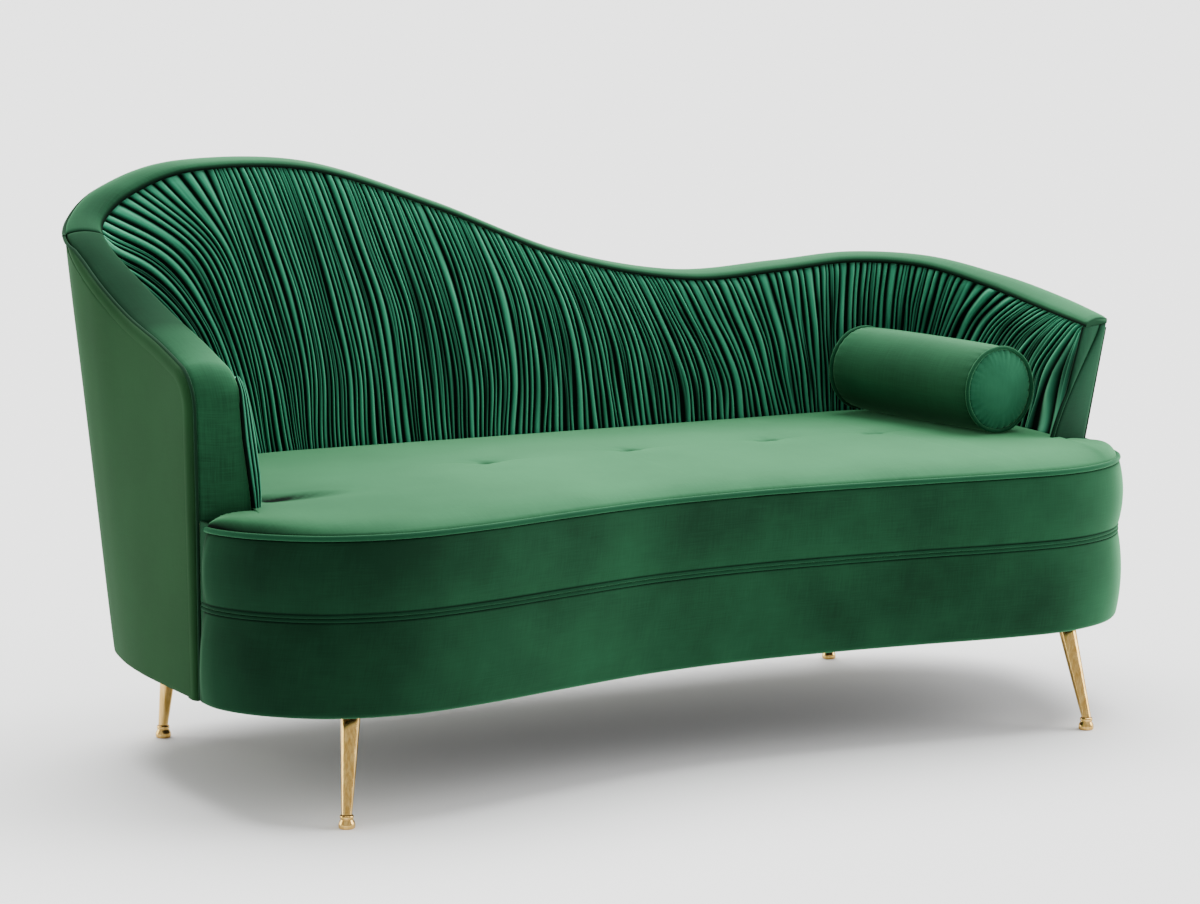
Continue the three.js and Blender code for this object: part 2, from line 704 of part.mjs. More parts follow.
legPlaces.forEach(({ name, footShares, leanShares }) => {
  const foot = inPlan(footShares);
  const lean = inPlan(leanShares);
  const top = foot.clone().add(lean);
  const inward = -Math.sign(top.y);
  add("foot_" + name, footSolid(), gold).position.copy(foot);
  const leg = add("leg_" + name, legSolid(lean), gold);
  leg.position.copy(foot).setZ(footHeight + touchGap);
  const plate = add(
    "leg_plate_" + name,
    ringPlate(legPlateSide, legPlateThickness, studRadius + studClearance, 0, -inward * legPlateOffset),
    steel,
  );
  plate.position.set(top.x, top.y + inward * legPlateOffset, legHeight);
  const studLength = studDepth + legPlateThickness - touchGap;
  const rod = new THREE.CylinderGeometry(studRadius, studRadius, studLength, legSideCount).rotateX(Math.PI / 2);
  const stud = add("leg_stud_" + name, rod, steel);
  stud.position.set(top.x, top.y, legHeight + legPlateThickness - studLength / 2);
  const blockFoot = legHeight + legPlateThickness + touchGap;
  const blockTop = deckHeight - deckThickness - touchGap;
  const block = add(
    "corner_block_" + name,
    new THREE.BoxGeometry(blockSide, blockSide, blockTop - blockFoot),
    timber,
  );
  block.position.set(top.x, top.y + inward * blockOffset, (blockTop + blockFoot) / 2);
});

// Rails of the base, on the line of the bands and of the outer wall
const railFoot = legHeight + legPlateThickness + touchGap * 2;
const railTop = deckHeight - deckThickness - touchGap;
function frontRail() {
  const us = bandColumns.slice(1, -2);
  return lid(
    (u, v) => insideBand(u, THREE.MathUtils.lerp(railFoot, railTop, v), bandThickness + touchGap),
    (u, v) => insideBand(u, THREE.MathUtils.lerp(railFoot, railTop, v), bandThickness + railThickness),
    us,
    [0, 1],
  );
}
add("base_front_rail", frontRail(), timber);
const backRailColumns = wallColumns.filter((u) => u > leftShare(armCornerRadius) && u <= rightSeam);
function backRail() {
  const near = shellThickness + looseGap;
  return lid(
    (u, v) => insideOuter(u, THREE.MathUtils.lerp(railFoot, railTop, v), near),
    (u, v) => insideOuter(u, THREE.MathUtils.lerp(railFoot, railTop, v), near + railThickness),
    backRailColumns,
    [0, 1],
  );
}
add("base_back_rail", backRail(), timber);

// Slats across the base, cut to the faces of the two rails
function faceAt(line, x) {
  const i = line.findIndex((p, k) => k > 0 && (line[k - 1].x - x) * (p.x - x) <= 0);
  const [a, b] = [line[i - 1], line[i]];
  return THREE.MathUtils.mapLinear(x, a.x, b.x, a.y, b.y);
}
Object.entries(slatPlaces).forEach(([name, share]) => {
  const x = share * halfLength;
  const sides = [x - slatWidth / 2, x, x + slatWidth / 2];
  const front = bandColumns.slice(1, -2).map((u) => insideBand(u, 0, bandThickness + railThickness));
  const backDepth = shellThickness + looseGap + railThickness;
  const back = backRailColumns.map((u) => insideOuter(u, railFoot, backDepth));
  const near = Math.max(...sides.map((s) => faceAt(front, s))) + touchGap;
  const far = Math.min(...sides.map((s) => faceAt(back, s))) - touchGap;
  const slat = add("cross_slat_" + name, new THREE.BoxGeometry(slatWidth, far - near, slatHeight), timber);
  slat.position.set(x, (near + far) / 2, railTop - slatHeight / 2);
});

// The cloth under the base, with an opening for each leg plate
function dustCover() {
  const holes = legPlaces.map(({ footShares, leanShares }) => {
    const top = inPlan(footShares).add(inPlan(leanShares));
    return { x: top.x, y: top.y - Math.sign(top.y) * legPlateOffset, side: legPlateSide + looseGap / 2 };
  });
  const bottom = railFoot - touchGap - dustCoverThickness;
  return board(baseOutline(bottom), holes, bottom, dustCoverThickness);
}
add("dust_cover", dustCover(), liningCloth);

// The rail under the border, and the posts that carry it
const topRailColumns = wallColumns.slice(cornerColumns.length, -1);
const topRailFoot = (u) => topHeight(u, wallInset + touchGap) - topRailHeight;
function topRail() {
  return lid(
    (u, v) => insideOuter(u, topRailFoot(u) + topRailHeight * v, shellThickness + looseGap),
    (u, v) => insideOuter(u, topRailFoot(u) + topRailHeight * v, shellThickness + topRailDepth),
    topRailColumns,
    [0, 1],
  );
}
add("back_top_rail", topRail(), timber);
function post(station) {
  const k = topRailColumns.findIndex((u) => u * stations >= station);
  const height = (u, v) => THREE.MathUtils.lerp(deckHeight + touchGap, topRailFoot(u) - touchGap, v);
  const near = shellThickness + looseGap;
  return lid(
    (u, v) => insideOuter(u, height(u, v), near),
    (u, v) => insideOuter(u, height(u, v), near + postDepth),
    topRailColumns.slice(k, k + 2),
    [0, 1],
  );
}
Object.entries(postStations).forEach(([name, station]) => add("post_" + name, post(station), timber));

// Ties that pull the tufts down, each from its head in the tuft to its washer under the deck
const tieFoot = deckHeight - deckThickness - touchGap - tieWasherThickness;
tufts.forEach(({ x, y }, i) => {
  const washerTop = tieFoot + tieWasherThickness;
  const head = tuftBedHeight + touchGap;
  const tie = turned(
    [[0, tieFoot], [tieWasherRadius, tieFoot], [tieWasherRadius, washerTop], [tieRadius, washerTop],
      [tieRadius, head],
      [tieHeadRadius, head], [tieHeadRadius, head + tieHeadThickness], [0, head + tieHeadThickness]],
    8,
  );
  add("tuft_tie_" + (i + 1), tie, liningCloth).position.set(x, y, 0);
});

// The loose bolster, made along x and turned to lie along the right arm
const bolster = new THREE.Group();
group.add(bolster);
const bodyHalf = bolsterLength / 2 - bolsterCapThickness - touchGap;
const bodyProfile = range(8).map((t) => {
  const swell = bolsterSwell * Math.sin(Math.PI * t);
  return [bolsterRadius - bolsterSwell - touchGap + swell, THREE.MathUtils.lerp(-bodyHalf, bodyHalf, t)];
});
const bolsterBody = turned([[0, -bodyHalf], ...bodyProfile, [0, bodyHalf]], bolsterSideCount);
add("bolster_body", bolsterBody.rotateY(Math.PI / 2), velvet, bolster);
// An end cap: domed, its cloth gathered to the rim
function bolsterCap() {
  const rim = bolsterRadius - bolsterWeltRadius * 2 - touchGap;
  const angles = range(bolsterGatherCount * 2, 0, 2 * Math.PI).slice(1);
  const points = [new THREE.Vector3(bolsterCapThickness - bolsterGather, 0, 0), new THREE.Vector3(0, 0, 0)];
  bolsterCapRingShares.forEach((share) =>
    angles.forEach((a, k) => {
      const dome = bolsterCapDome * (1 - share * share);
      const fold = (k % 2 ? -bolsterGather : 0) * share;
      const out = bolsterCapThickness - bolsterCapDome - bolsterGather + dome + fold;
      points.push(new THREE.Vector3(out, rim * share * Math.cos(a), rim * share * Math.sin(a)));
    }),
  );
  angles.forEach((a) => points.push(new THREE.Vector3(0, rim * Math.cos(a), rim * Math.sin(a))));
  const n = angles.length;
  const at = (ring, k) => 2 + ring * n + (k % n);
  const faces = [];
  for (let k = 0; k < n; k++) {
    faces.push(0, at(0, k), at(0, k + 1));
    for (let r = 0; r < bolsterCapRingShares.length; r++)
      faces.push(at(r, k), at(r + 1, k), at(r + 1, k + 1), at(r, k), at(r + 1, k + 1), at(r, k + 1));
    faces.push(1, at(bolsterCapRingShares.length, k + 1), at(bolsterCapRingShares.length, k));
  }
  return geometryFrom(points, faces);
}
function bolsterWelt() {
  const tube = new THREE.TorusGeometry(bolsterRadius - bolsterWeltRadius, bolsterWeltRadius, 6, bolsterSideCount);
  return tube.rotateY(Math.PI / 2);
}
[["front", 1], ["back", -1]].forEach(([name, side]) => {
  const end = new THREE.Group();
  bolster.add(end);
  if (side < 0) end.rotation.z = Math.PI;
  const cap = add("bolster_cap_" + name, bolsterCap(), velvet, end);
  cap.position.x = bodyHalf + touchGap;
  const welt = add("bolster_welt_" + name, bolsterWelt(), velvetShade, end);
  welt.position.x = bodyHalf + touchGap + bolsterWeltRadius;
});
bolster.rotation.z = -Math.PI / 2 + bolsterTurn;

// How far the bolster reaches out from its axis, at a place along it
function bolsterReach(a) {
  const sunk = bolsterSwell * (1 - Math.cos((Math.PI * a) / bodyHalf / 2));
  return Math.abs(a) > bodyHalf ? bolsterRadius : bolsterRadius - touchGap - sunk;
}

// Lay the bolster on the seat: the lowest height at which it clears the pad under it
function restHeight(centre) {
  seatPad.updateMatrixWorld();
  const along = new THREE.Vector3(Math.cos(bolster.rotation.z), Math.sin(bolster.rotation.z), 0);
  const across = new THREE.Vector3(-along.y, along.x, 0);
  const ray = new THREE.Raycaster();
  let height = 0;
  range(24, -bolsterLength / 2, bolsterLength / 2).forEach((a) => {
    const reach = bolsterReach(a);
    range(12, -bolsterRadius / 3, bolsterRadius / 3).forEach((c) => {
      const from = centre.clone().addScaledVector(along, a).addScaledVector(across, c).setZ(backEdgeHeight);
      ray.set(from, up.clone().negate());
      const [hit] = ray.intersectObject(seatPad);
      if (hit) height = Math.max(height, hit.point.z + Math.sqrt(reach * reach - c * c));
    });
  });
  return height;
}
const place = inPlan(bolsterPlaceShares);
bolster.position.copy(place).setZ(restHeight(place) + touchGap);

// The origin is under the middle of the whole couch, on the floor
group.updateMatrixWorld(true);
const bounds = new THREE.Box3().setFromObject(group, true);
const middle = bounds.getCenter(new THREE.Vector3());
group.position.set(-middle.x, -middle.y, -bounds.min.z);

export default group;
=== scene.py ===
# %% [markdown]
# # A fainting couch in green velvet
# The couch has a curved base, a tall back that sweeps down to one side, and a loose round bolster.
# Its real cloth is sewn over a wooden frame and foam, so almost every surface here is a soft form between two seams.
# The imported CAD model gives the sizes. It is loaded first as a fixed frame, and each soft piece is built over its node.

# %% Load the frame
import math

import bpy
import numpy as np
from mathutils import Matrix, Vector


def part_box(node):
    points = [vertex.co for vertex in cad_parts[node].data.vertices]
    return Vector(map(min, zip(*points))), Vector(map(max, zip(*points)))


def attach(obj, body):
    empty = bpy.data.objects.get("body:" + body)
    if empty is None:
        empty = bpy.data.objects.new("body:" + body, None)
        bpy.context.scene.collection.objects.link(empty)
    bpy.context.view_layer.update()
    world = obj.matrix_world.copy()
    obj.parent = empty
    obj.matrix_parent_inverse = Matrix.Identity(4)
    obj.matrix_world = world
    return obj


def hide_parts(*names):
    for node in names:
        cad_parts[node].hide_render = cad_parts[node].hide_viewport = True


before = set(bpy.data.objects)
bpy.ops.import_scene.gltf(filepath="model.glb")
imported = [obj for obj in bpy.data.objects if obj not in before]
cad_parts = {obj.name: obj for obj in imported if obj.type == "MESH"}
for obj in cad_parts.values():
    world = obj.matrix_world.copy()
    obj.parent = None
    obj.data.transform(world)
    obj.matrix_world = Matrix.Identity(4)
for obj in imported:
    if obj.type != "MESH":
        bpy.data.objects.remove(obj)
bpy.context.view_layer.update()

# %% [markdown]
# ## The lines of the couch
# A maker draws such a couch as a few plan outlines: the foot and the top of the outer wall, the seat line and the top
# of the inner back, and the front of the base. Each is a row of stations here, as shares of half the length and depth.
# A smooth curve through the stations gives any point between them, which is easier to adjust than a sculpted mesh.

# %% Outlines
HALF = np.array([0.876, 0.455])
OUTER_FOOT = [
    (-0.962, -0.448), (-0.967, -0.202), (-0.968, 0.04), (-0.957, 0.248), (-0.933, 0.435), (-0.877, 0.6),
    (-0.79, 0.703), (-0.664, 0.747), (-0.447, 0.76), (-0.185, 0.756), (0.078, 0.738), (0.34, 0.714),
    (0.551, 0.686), (0.728, 0.629), (0.86, 0.479), (0.939, 0.237), (0.954, -0.088), (0.814, -0.448),
]
OUTER_TOP = [
    (-0.97, -0.462), (-0.974, -0.202), (-0.984, 0.051), (-0.998, 0.281), (-0.995, 0.49), (-0.959, 0.677),
    (-0.87, 0.835), (-0.71, 0.945), (-0.447, 0.996), (-0.185, 0.978), (0.078, 0.936), (0.34, 0.897),
    (0.568, 0.862), (0.757, 0.798), (0.905, 0.633), (0.989, 0.336), (0.995, -0.026), (0.955, -0.387),
]
INNER_SEAT = [
    (-0.866, -0.514), (-0.862, -0.246), (-0.849, 0.007), (-0.818, 0.248), (-0.756, 0.457), (-0.676, 0.571),
    (-0.584, 0.615), (-0.47, 0.615), (-0.316, 0.602), (-0.139, 0.589), (0.146, 0.576), (0.414, 0.567),
    (0.574, 0.567), (0.688, 0.552), (0.783, 0.457), (0.837, 0.248), (0.846, -0.07), (0.806, -0.481),
]
INNER_TOP = [
    (-0.874, -0.523), (-0.874, -0.22), (-0.885, 0.029), (-0.908, 0.248), (-0.922, 0.457), (-0.9, 0.637),
    (-0.818, 0.743), (-0.682, 0.791), (-0.447, 0.815), (-0.185, 0.793), (0.078, 0.752), (0.34, 0.712),
    (0.551, 0.677), (0.705, 0.644), (0.831, 0.512), (0.9, 0.27), (0.909, -0.048), (0.879, -0.455),
]
BAND_FRONT = [
    (-0.96, -0.462), (-0.952, -0.62), (-0.902, -0.778), (-0.813, -0.91), (-0.687, -0.971), (-0.539, -0.945),
    (-0.356, -0.868), (-0.174, -0.802), (0.009, -0.782), (0.192, -0.8), (0.374, -0.84), (0.546, -0.888),
    (0.683, -0.897), (0.791, -0.829), (0.868, -0.69), (0.909, -0.51), (0.938, -0.301), (0.955, -0.105),
]
TOP_RISE = [
    0, 0.135, 0.255, 0.433, 0.6, 0.72, 0.873, 0.985, 0.956, 0.691, 0.36, 0.193, 0.222, 0.262, 0.233, 0.135,
    0.051, -0.007,
]
STATIONS = len(OUTER_TOP) - 1
ARM_HEIGHT, BACK_HEIGHT = 0.640, 0.915
LEG_HEIGHT, GROOVE_HEIGHT, SEAT_EDGE, SEAT_BACK = 0.160, 0.309, 0.430, 0.447
WALL_INSET, BORDER_DEPTH, BORDER_CROWN, ARM_CORNER = 0.0083, 0.008, 0.008, 0.045
DRAWN_FROM, DRAWN_OVER = 0.94, 0.06


def smooth(rows, u):
    """A smooth curve through rows of numbers, at u from 0 on the first row to 1 on the last."""
    rows = np.array(rows, float).reshape(len(rows), -1)
    rows = np.vstack([2 * rows[0] - rows[1], rows, 2 * rows[-1] - rows[-2]])
    at = share(u) * (len(rows) - 3)
    i = np.minimum(np.floor(at).astype(int), len(rows) - 4)
    t = (at - i)[..., None]
    a, b, d, e = rows[i], rows[i + 1], rows[i + 2], rows[i + 3]
    return (2 * b + (d - a) * t + (2 * a - 5 * b + 4 * d - e) * t**2 + (3 * b - a - 3 * d + e) * t**3) / 2


def plan(rows, u):
    return smooth(rows, u) * HALF


def mixed(a, b, t):
    return a + (b - a) * t


def share(number):
    """The number, held between 0 and 1."""
    return np.clip(number, 0, 1)


def unit(vectors):
    return vectors / np.linalg.norm(vectors, axis=-1, keepdims=True)


def length_along(points):
    """The length from the first of a row of points to each of them."""
    return np.cumsum(np.concatenate([[0], np.linalg.norm(np.diff(points, axis=0), axis=1)]))


def at_height(points, z):
    return np.concatenate([points, np.broadcast_to(z, points.shape[:-1])[..., None]], -1)


# %% [markdown]
# The wall leans: its foot is narrower than its top. A point on it is a mix of the foot outline and the top outline by
# height. The top edge has its own height at each station, and the left arm's front corner is a quarter circle.

# %% Surfaces of the wall
LEFT_RUN = np.linalg.norm(plan(OUTER_TOP, np.array(0.0)) - plan(OUTER_TOP, np.array(1 / STATIONS))) * STATIONS
RIGHT_RUN = np.linalg.norm(plan(OUTER_TOP, np.array(1.0)) - plan(OUTER_TOP, np.array(1 - 1 / STATIONS))) * STATIONS
RIGHT_SEAM = 1 - 1 / STATIONS
CROSS_SEAM = 4.4 / STATIONS


def slope_height(u):
    return ARM_HEIGHT + smooth(TOP_RISE, u)[..., 0] * (BACK_HEIGHT - ARM_HEIGHT)


def top_height(u, inset):
    flat = np.maximum(ARM_CORNER - u * LEFT_RUN, 0)
    drop = ARM_CORNER - np.sqrt(np.maximum((ARM_CORNER - inset) ** 2 - flat**2, 0))
    return slope_height(u) - np.where(flat > 0, drop, inset)


def outer_wall(u, z):
    rise = ((z - LEG_HEIGHT) / (slope_height(u) - LEG_HEIGHT))[..., None]
    return at_height(mixed(plan(OUTER_FOOT, u), plan(OUTER_TOP, u), rise), z)


def inner_wall(u, z):
    rise = share((z - SEAT_BACK) / (slope_height(u) - SEAT_BACK))[..., None]
    return at_height(mixed(plan(INNER_SEAT, u), plan(INNER_TOP, u), rise), z)


def band_front(u, z):
    """The base's front. Its right end draws over to the edge of the leaning wall, so the seam between them closes."""
    z = np.broadcast_to(z, np.shape(u))
    level = np.clip(z, LEG_HEIGHT, SEAT_EDGE)
    gap = outer_wall(np.full_like(level, RIGHT_SEAM), level)[..., :2] - plan(BAND_FRONT, np.array(1.0))
    late = share((u - DRAWN_FROM) / DRAWN_OVER)[..., None] ** 2
    return at_height(plan(BAND_FRONT, u) + gap * late, z)


def sideways(surface, u, z):
    """The plan normal of a surface, to the right of the way it runs."""
    step = 1 / STATIONS**2
    along = surface(np.minimum(u + step, 1), z) - surface(np.maximum(u - step, 0), z)
    return unit(np.stack([along[..., 1], -along[..., 0], np.zeros_like(along[..., 0])], -1))


def moved(surface, u, z, distance):
    return surface(u, z) + sideways(surface, u, z) * np.asarray(distance)[..., None]


def across_wall(u):
    return at_height(unit(plan(INNER_TOP, u) - plan(OUTER_TOP, u)), 0.0)


print("couch length and depth:", 2 * HALF, "stations:", STATIONS)

# %% [markdown]
# The frame's origin is under the middle of the whole couch, and the outlines have their own. The left front foot is
# in both, so the difference between its two places is the shift for everything that is built here.

# %% Shift from the outlines to the frame
FEET = {
    "front_left": ((-0.795, -0.93), (0.035, 0.11)),
    "front_right": ((0.71, -0.938), (0.001, 0.132)),
    "back_left": ((-0.825, 0.525), (0.011, -0.037)),
    "back_right": ((0.627, 0.534), (-0.014, -0.055)),
}
foot_low, foot_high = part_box("foot_front_left")
foot_middle = (foot_low + foot_high) / 2
SHIFT = np.array([*(np.array(foot_middle[:2]) - np.array(FEET["front_left"][0]) * HALF), 0])
print("shift:", np.round(SHIFT, 4))

# %% [markdown]
# ## Turning points into pieces
# Two kinds of closed mesh are enough for all the upholstery: a pad, which is a front face and a back face joined round
# their rims, and a tube, which is a row of loops closed at both ends. Both carry two named values on their points:
# the cloth's own coordinates, for marks and a painted-shade ramp that follow the sewing, and a painted-light share from
# how open each point lies, which paints shade into seams, grooves and hollows. A pad's back gets a low painted-light
# share, as painted shade, so the thin line of it beside a seam doesn't catch the light.

# %% Mesh helpers
# Painted shade: every pad's back is drawn at this share of its lit colour.
BACK_SHADE = 0.3


def facing_out(points, faces):
    """The faces, turned round if they enclose a negative volume."""
    volume = 0.0
    for size in {len(face) for face in faces}:
        corners = points[np.array([face for face in faces if len(face) == size])]
        for k in range(1, size - 1):
            volume += np.einsum("ij,ij->", corners[:, 0], np.cross(corners[:, k], corners[:, k + 1]))
    return [face[::-1] for face in faces] if volume < 0 else faces


def placed(name, data):
    """A new object in the scene."""
    made = bpy.data.objects.new(name, data)
    bpy.context.scene.collection.objects.link(made)
    return made


def piece(name, points, faces, body="couch", cloth=None, painted_light=None, sharp=None):
    points = np.asarray(points, float)
    faces = facing_out(points, faces)
    mesh = bpy.data.meshes.new(name)
    mesh.from_pydata((points + (SHIFT if body == "couch" else 0)).tolist(), [], faces)
    mesh.polygons.foreach_set("use_smooth", [True] * len(mesh.polygons))
    if sharp:
        mesh.set_sharp_from_angle(angle=math.radians(sharp))
    cloth = points if cloth is None else cloth
    # Painted light: a share per point, 1 for the full colour and 0 for a painted near-black shade.
    painted_light = np.ones(len(points)) if painted_light is None else painted_light
    mesh.attributes.new("cloth", "FLOAT_VECTOR", "POINT").data.foreach_set("vector", np.ravel(cloth))
    mesh.attributes.new("painted_light", "FLOAT", "POINT").data.foreach_set("value", np.ravel(painted_light))
    return placed(name, mesh)


def laid_out(run, across):
    """The cloth's own coordinates on a grid, from the run along its columns and a height at every point."""
    return np.stack([np.broadcast_to(run[:, None], across.shape), across, across * 0], -1)


def pad(name, front, back, painted_light=None, cloth=None, **options):
    """A closed pad from a grid of front points and a grid of back points with as many columns."""
    (n, m), k = front.shape[:2], back.shape[1]
    fore = np.arange(n * m).reshape(n, m)
    rear = n * m + np.arange(n * k).reshape(n, k)

    def quads(grid):
        return np.stack([grid[:-1, :-1], grid[1:, :-1], grid[1:, 1:], grid[:-1, 1:]], -1).reshape(-1, 4)

    def bridge(one, other):
        return np.stack([one[:-1], other[:-1], other[1:], one[1:]], -1)

    rows = [quads(fore), quads(rear)[:, ::-1], bridge(fore[:, 0], rear[:, 0]), bridge(rear[:, -1], fore[:, -1])]
    ends = [np.concatenate([fore[0], rear[0, ::-1]]), np.concatenate([rear[-1], fore[-1, ::-1]])]
    faces = np.concatenate(rows).tolist() + [end.tolist() for end in ends]
    points = np.concatenate([front.reshape(-1, 3), back.reshape(-1, 3)])
    painted_lit = np.ones((n, m)) if painted_light is None else np.broadcast_to(painted_light, (n, m))
    painted_lit = np.concatenate([painted_lit.ravel(), np.full(n * k, BACK_SHADE)])
    if cloth is not None:
        cloth = np.concatenate([cloth.reshape(-1, 3), back.reshape(-1, 3)])
    return piece(name, points, faces, painted_light=painted_lit, cloth=cloth, **options)


def tube(name, loops, cloth=None, painted_light=None, closed=False, **options):
    """A closed tube from loops of points, one after another. A ring closes on itself and has no ends."""
    n, m = loops.shape[:2]
    faces = []
    for i in range(n if closed else n - 1):
        for k in range(m):
            nxt = (i + 1) % n
            faces.append((i * m + k, i * m + (k + 1) % m, nxt * m + (k + 1) % m, nxt * m + k))
    points = loops.reshape(-1, 3)
    painted_lit = np.ones(len(points)) if painted_light is None else painted_light.ravel()
    if not closed:
        faces += [tuple(range(m)), tuple(reversed(range((n - 1) * m, n * m)))]
    return piece(name, points, faces, painted_light=painted_lit, cloth=cloth, **options)


def cord_loops(path, facings, radius, sides=10):
    """Loops of a round sewn cord along a path."""
    along = np.gradient(path, axis=0)
    side = unit(np.cross(along, facings))
    out = unit(np.cross(side, along))
    angles = np.linspace(0, 2 * np.pi, sides, endpoint=False)
    ring = np.cos(angles)[None, :, None] * out[:, None] + np.sin(angles)[None, :, None] * side[:, None]
    return path[:, None] + ring * radius


def rounded(distance, radius):
    """How far a cushion's face has sunk at a distance from its seam."""
    inside = np.clip(radius - distance, 0, radius)
    return radius - np.sqrt(radius**2 - inside**2)


def wander(seed, shape, waves, size):
    """Slow irregular numbers along the last axis, the same at each run."""
    made = np.random.default_rng(seed)
    t = np.linspace(0, 1, shape[-1])
    total = np.zeros(shape)
    for _ in range(3):
        pace = made.uniform(0.4, 1, shape[:-1] + (1,)) * waves
        total += np.sin(2 * np.pi * (pace * t + made.uniform(0, 1, shape[:-1] + (1,))))
    return total * size / 3


# %% [markdown]
# ## The camera
# The photograph was taken with a long lens from the front left, a little above the seat. A long lens keeps the two ends
# of a long couch nearly the same size. The camera's place came from the feet and the seat's edge in the picture.

# %% Camera
CAMERA_AT, CAMERA_DOWN, CAMERA_ROUND, LENS, SENSOR = (-2.65955, -4.81508, 1.27687), 8.594, 28.462, 102, 36
camera = placed("camera", bpy.data.cameras.new("camera"))
camera.data.lens, camera.data.sensor_width = LENS, SENSOR
camera.location = Vector(np.array(CAMERA_AT) + SHIFT)
camera.rotation_euler = (math.radians(90 - CAMERA_DOWN), 0, -math.radians(CAMERA_ROUND))
camera.data.clip_start, camera.data.clip_end = 0.1, 200
bpy.context.scene.camera = camera
print("camera at", [round(c, 3) for c in camera.location])

# %% [markdown]
# ## The gathered inner back
# The back's cloth is cut much wider than the back and sewn down in narrow folds. The folds stand almost upright along
# the seat and fan out towards both arms, so a plain vertical ripple would look wrong. A table of a few fold lines, each
# with its station at five heights, steers them all, and the folds between two lines are counted off evenly.
# Modelling the folds as real relief, with a column of points down each side, gives true shadows from every side.

# %% Fold lines
FOLD_LINES = [
    (0, 0, 0, 0, 0), (1.3, 1.25, 1.05, 0.8, 0.5), (2.6, 2.5, 2.25, 1.75, 1.15), (3.8, 3.8, 3.55, 2.9, 1.9),
    (4.7, 4.8, 4.7, 4.05, 2.8), (5.4, 5.6, 5.7, 5.2, 3.9), (5.75, 6.1, 6.3, 6.25, 5.4),
    (5.95, 6.4, 6.65, 6.7, 6.2), (6.45, 6.8, 6.95, 7.05, 7.1), (6.8, 7.2, 7.4, 7.45, 7.45),
    (7.3, 7.6, 7.7, 7.75, 7.75), (8.1, 8.25, 8.35, 8.3, 8.25), (8.8, 8.9, 8.9, 8.85, 8.75),
    (9.3, 9.4, 9.45, 9.45, 9.35), (10.05, 10.1, 10.15, 10.15, 10.1), (10.9, 11, 11, 10.95, 10.9),
    (11.7, 11.7, 11.7, 11.65, 11.6), (12.8, 12.85, 12.85, 12.9, 12.95), (13.8, 13.85, 13.9, 13.9, 13.95),
    (14.2, 14.3, 14.4, 14.5, 14.6), (14.7, 14.75, 14.95, 15.15, 15.55), (15.4, 15.5, 15.65, 15.9, 16.35),
    (16.25, 16.25, 16.25, 16.45, 16.7), (16.5, 16.5, 16.55, 16.7, 16.95), (17, 17, 17, 17, 17),
]
FOLDS_BETWEEN = [7, 7, 8, 8, 6, 7, 4, 5, 7, 7, 12, 12, 12, 17, 18, 11, 14, 12, 6, 6, 7, 6, 3, 2]
FOLD_SAMPLES = np.array([0, 0.1, 0.22, 0.36, 0.5, 0.64, 0.78, 0.9])
WIDTHS, WIDTH_ODDS = [0.72, 0.88, 1.0, 1.45], [0.3, 0.3, 0.22, 0.18]

line_places = np.concatenate([[0], np.cumsum(FOLDS_BETWEEN)])
fold_count = int(line_places[-1])
chance = np.random.default_rng(7)
fold_widths = chance.choice(WIDTHS, fold_count, p=WIDTH_ODDS) * chance.uniform(0.9, 1.1, fold_count)
grooves = np.concatenate([[0], np.cumsum(fold_widths)]) / fold_widths.sum() * fold_count
columns = (grooves[:-1, None] + np.diff(grooves)[:, None] * FOLD_SAMPLES).ravel()
columns = np.append(columns, fold_count)
print("folds:", fold_count, "columns:", len(columns))

# %% [markdown]
# Each fold gets its own width, height, lean and wobble, because hand-gathered cloth is never even. A fold is a round
# ridge between two sharp grooves, and a low second ridge on some breaks them up the way pinched velvet does. The
# folds' top is tucked in under the border, and a few points behind them close the pad.

# %% Gathered back
FOLD_DEPTH, GROOVE_DEPTH, BACKING_DEPTH, TUCK = 0.0095, 0.0073, 0.0198, 0.004
ARM_INSET, TOP_INSET, HIDDEN_FOOT, CLOTH_PER_FOLD = 0.0143, 0.0086, 0.40, 0.016
FOLD_ROWS, WIDE_FOLD, LEFT_FOLDS, END_FOLDS = 44, 0.006, 40, 4
FOLD_BODY, FOLD_LIGHT, LEFT_SHADE, END_SHADE = 0.8, 0.74, 0.75, 0.7
# Exponents for how sharply the painted shade falls into each groove, at the foot, at the top and on the end folds.
SHADE_SHARP_FOOT, SHADE_SHARP_TOP, SOFT_SHADE_ENDS = 4.5, 2.4, 0.4
BACKING_ROWS = [0, 11, 22, 34, FOLD_ROWS - 1]

lines = np.array(FOLD_LINES)
heights = np.linspace(0, 1, FOLD_ROWS)
steer = np.stack([np.interp(columns, line_places, lines[:, k]) for k in range(lines.shape[1])], 0)
stations = smooth(steer, heights).T
spread = np.gradient(stations, axis=0) / np.gradient(columns)[:, None]
fold_of = np.minimum(np.searchsorted(grooves, columns, side="right") - 1, fold_count - 1)
wobble = wander(11, (fold_count, FOLD_ROWS), 1.5, 0.2)
edge_fade = share(np.minimum(columns, fold_count - columns) / 2)[:, None]
blend_next = (columns - grooves[fold_of]) / np.diff(grooves)[fold_of]
wobble_here = mixed(wobble[fold_of], wobble[np.minimum(fold_of + 1, fold_count - 1)], blend_next[:, None])
stations = np.clip(stations + wobble_here * spread * edge_fade, 0, STATIONS)
fold_u = mixed(ARM_INSET / LEFT_RUN, 1 - ARM_INSET / RIGHT_RUN, stations / STATIONS)

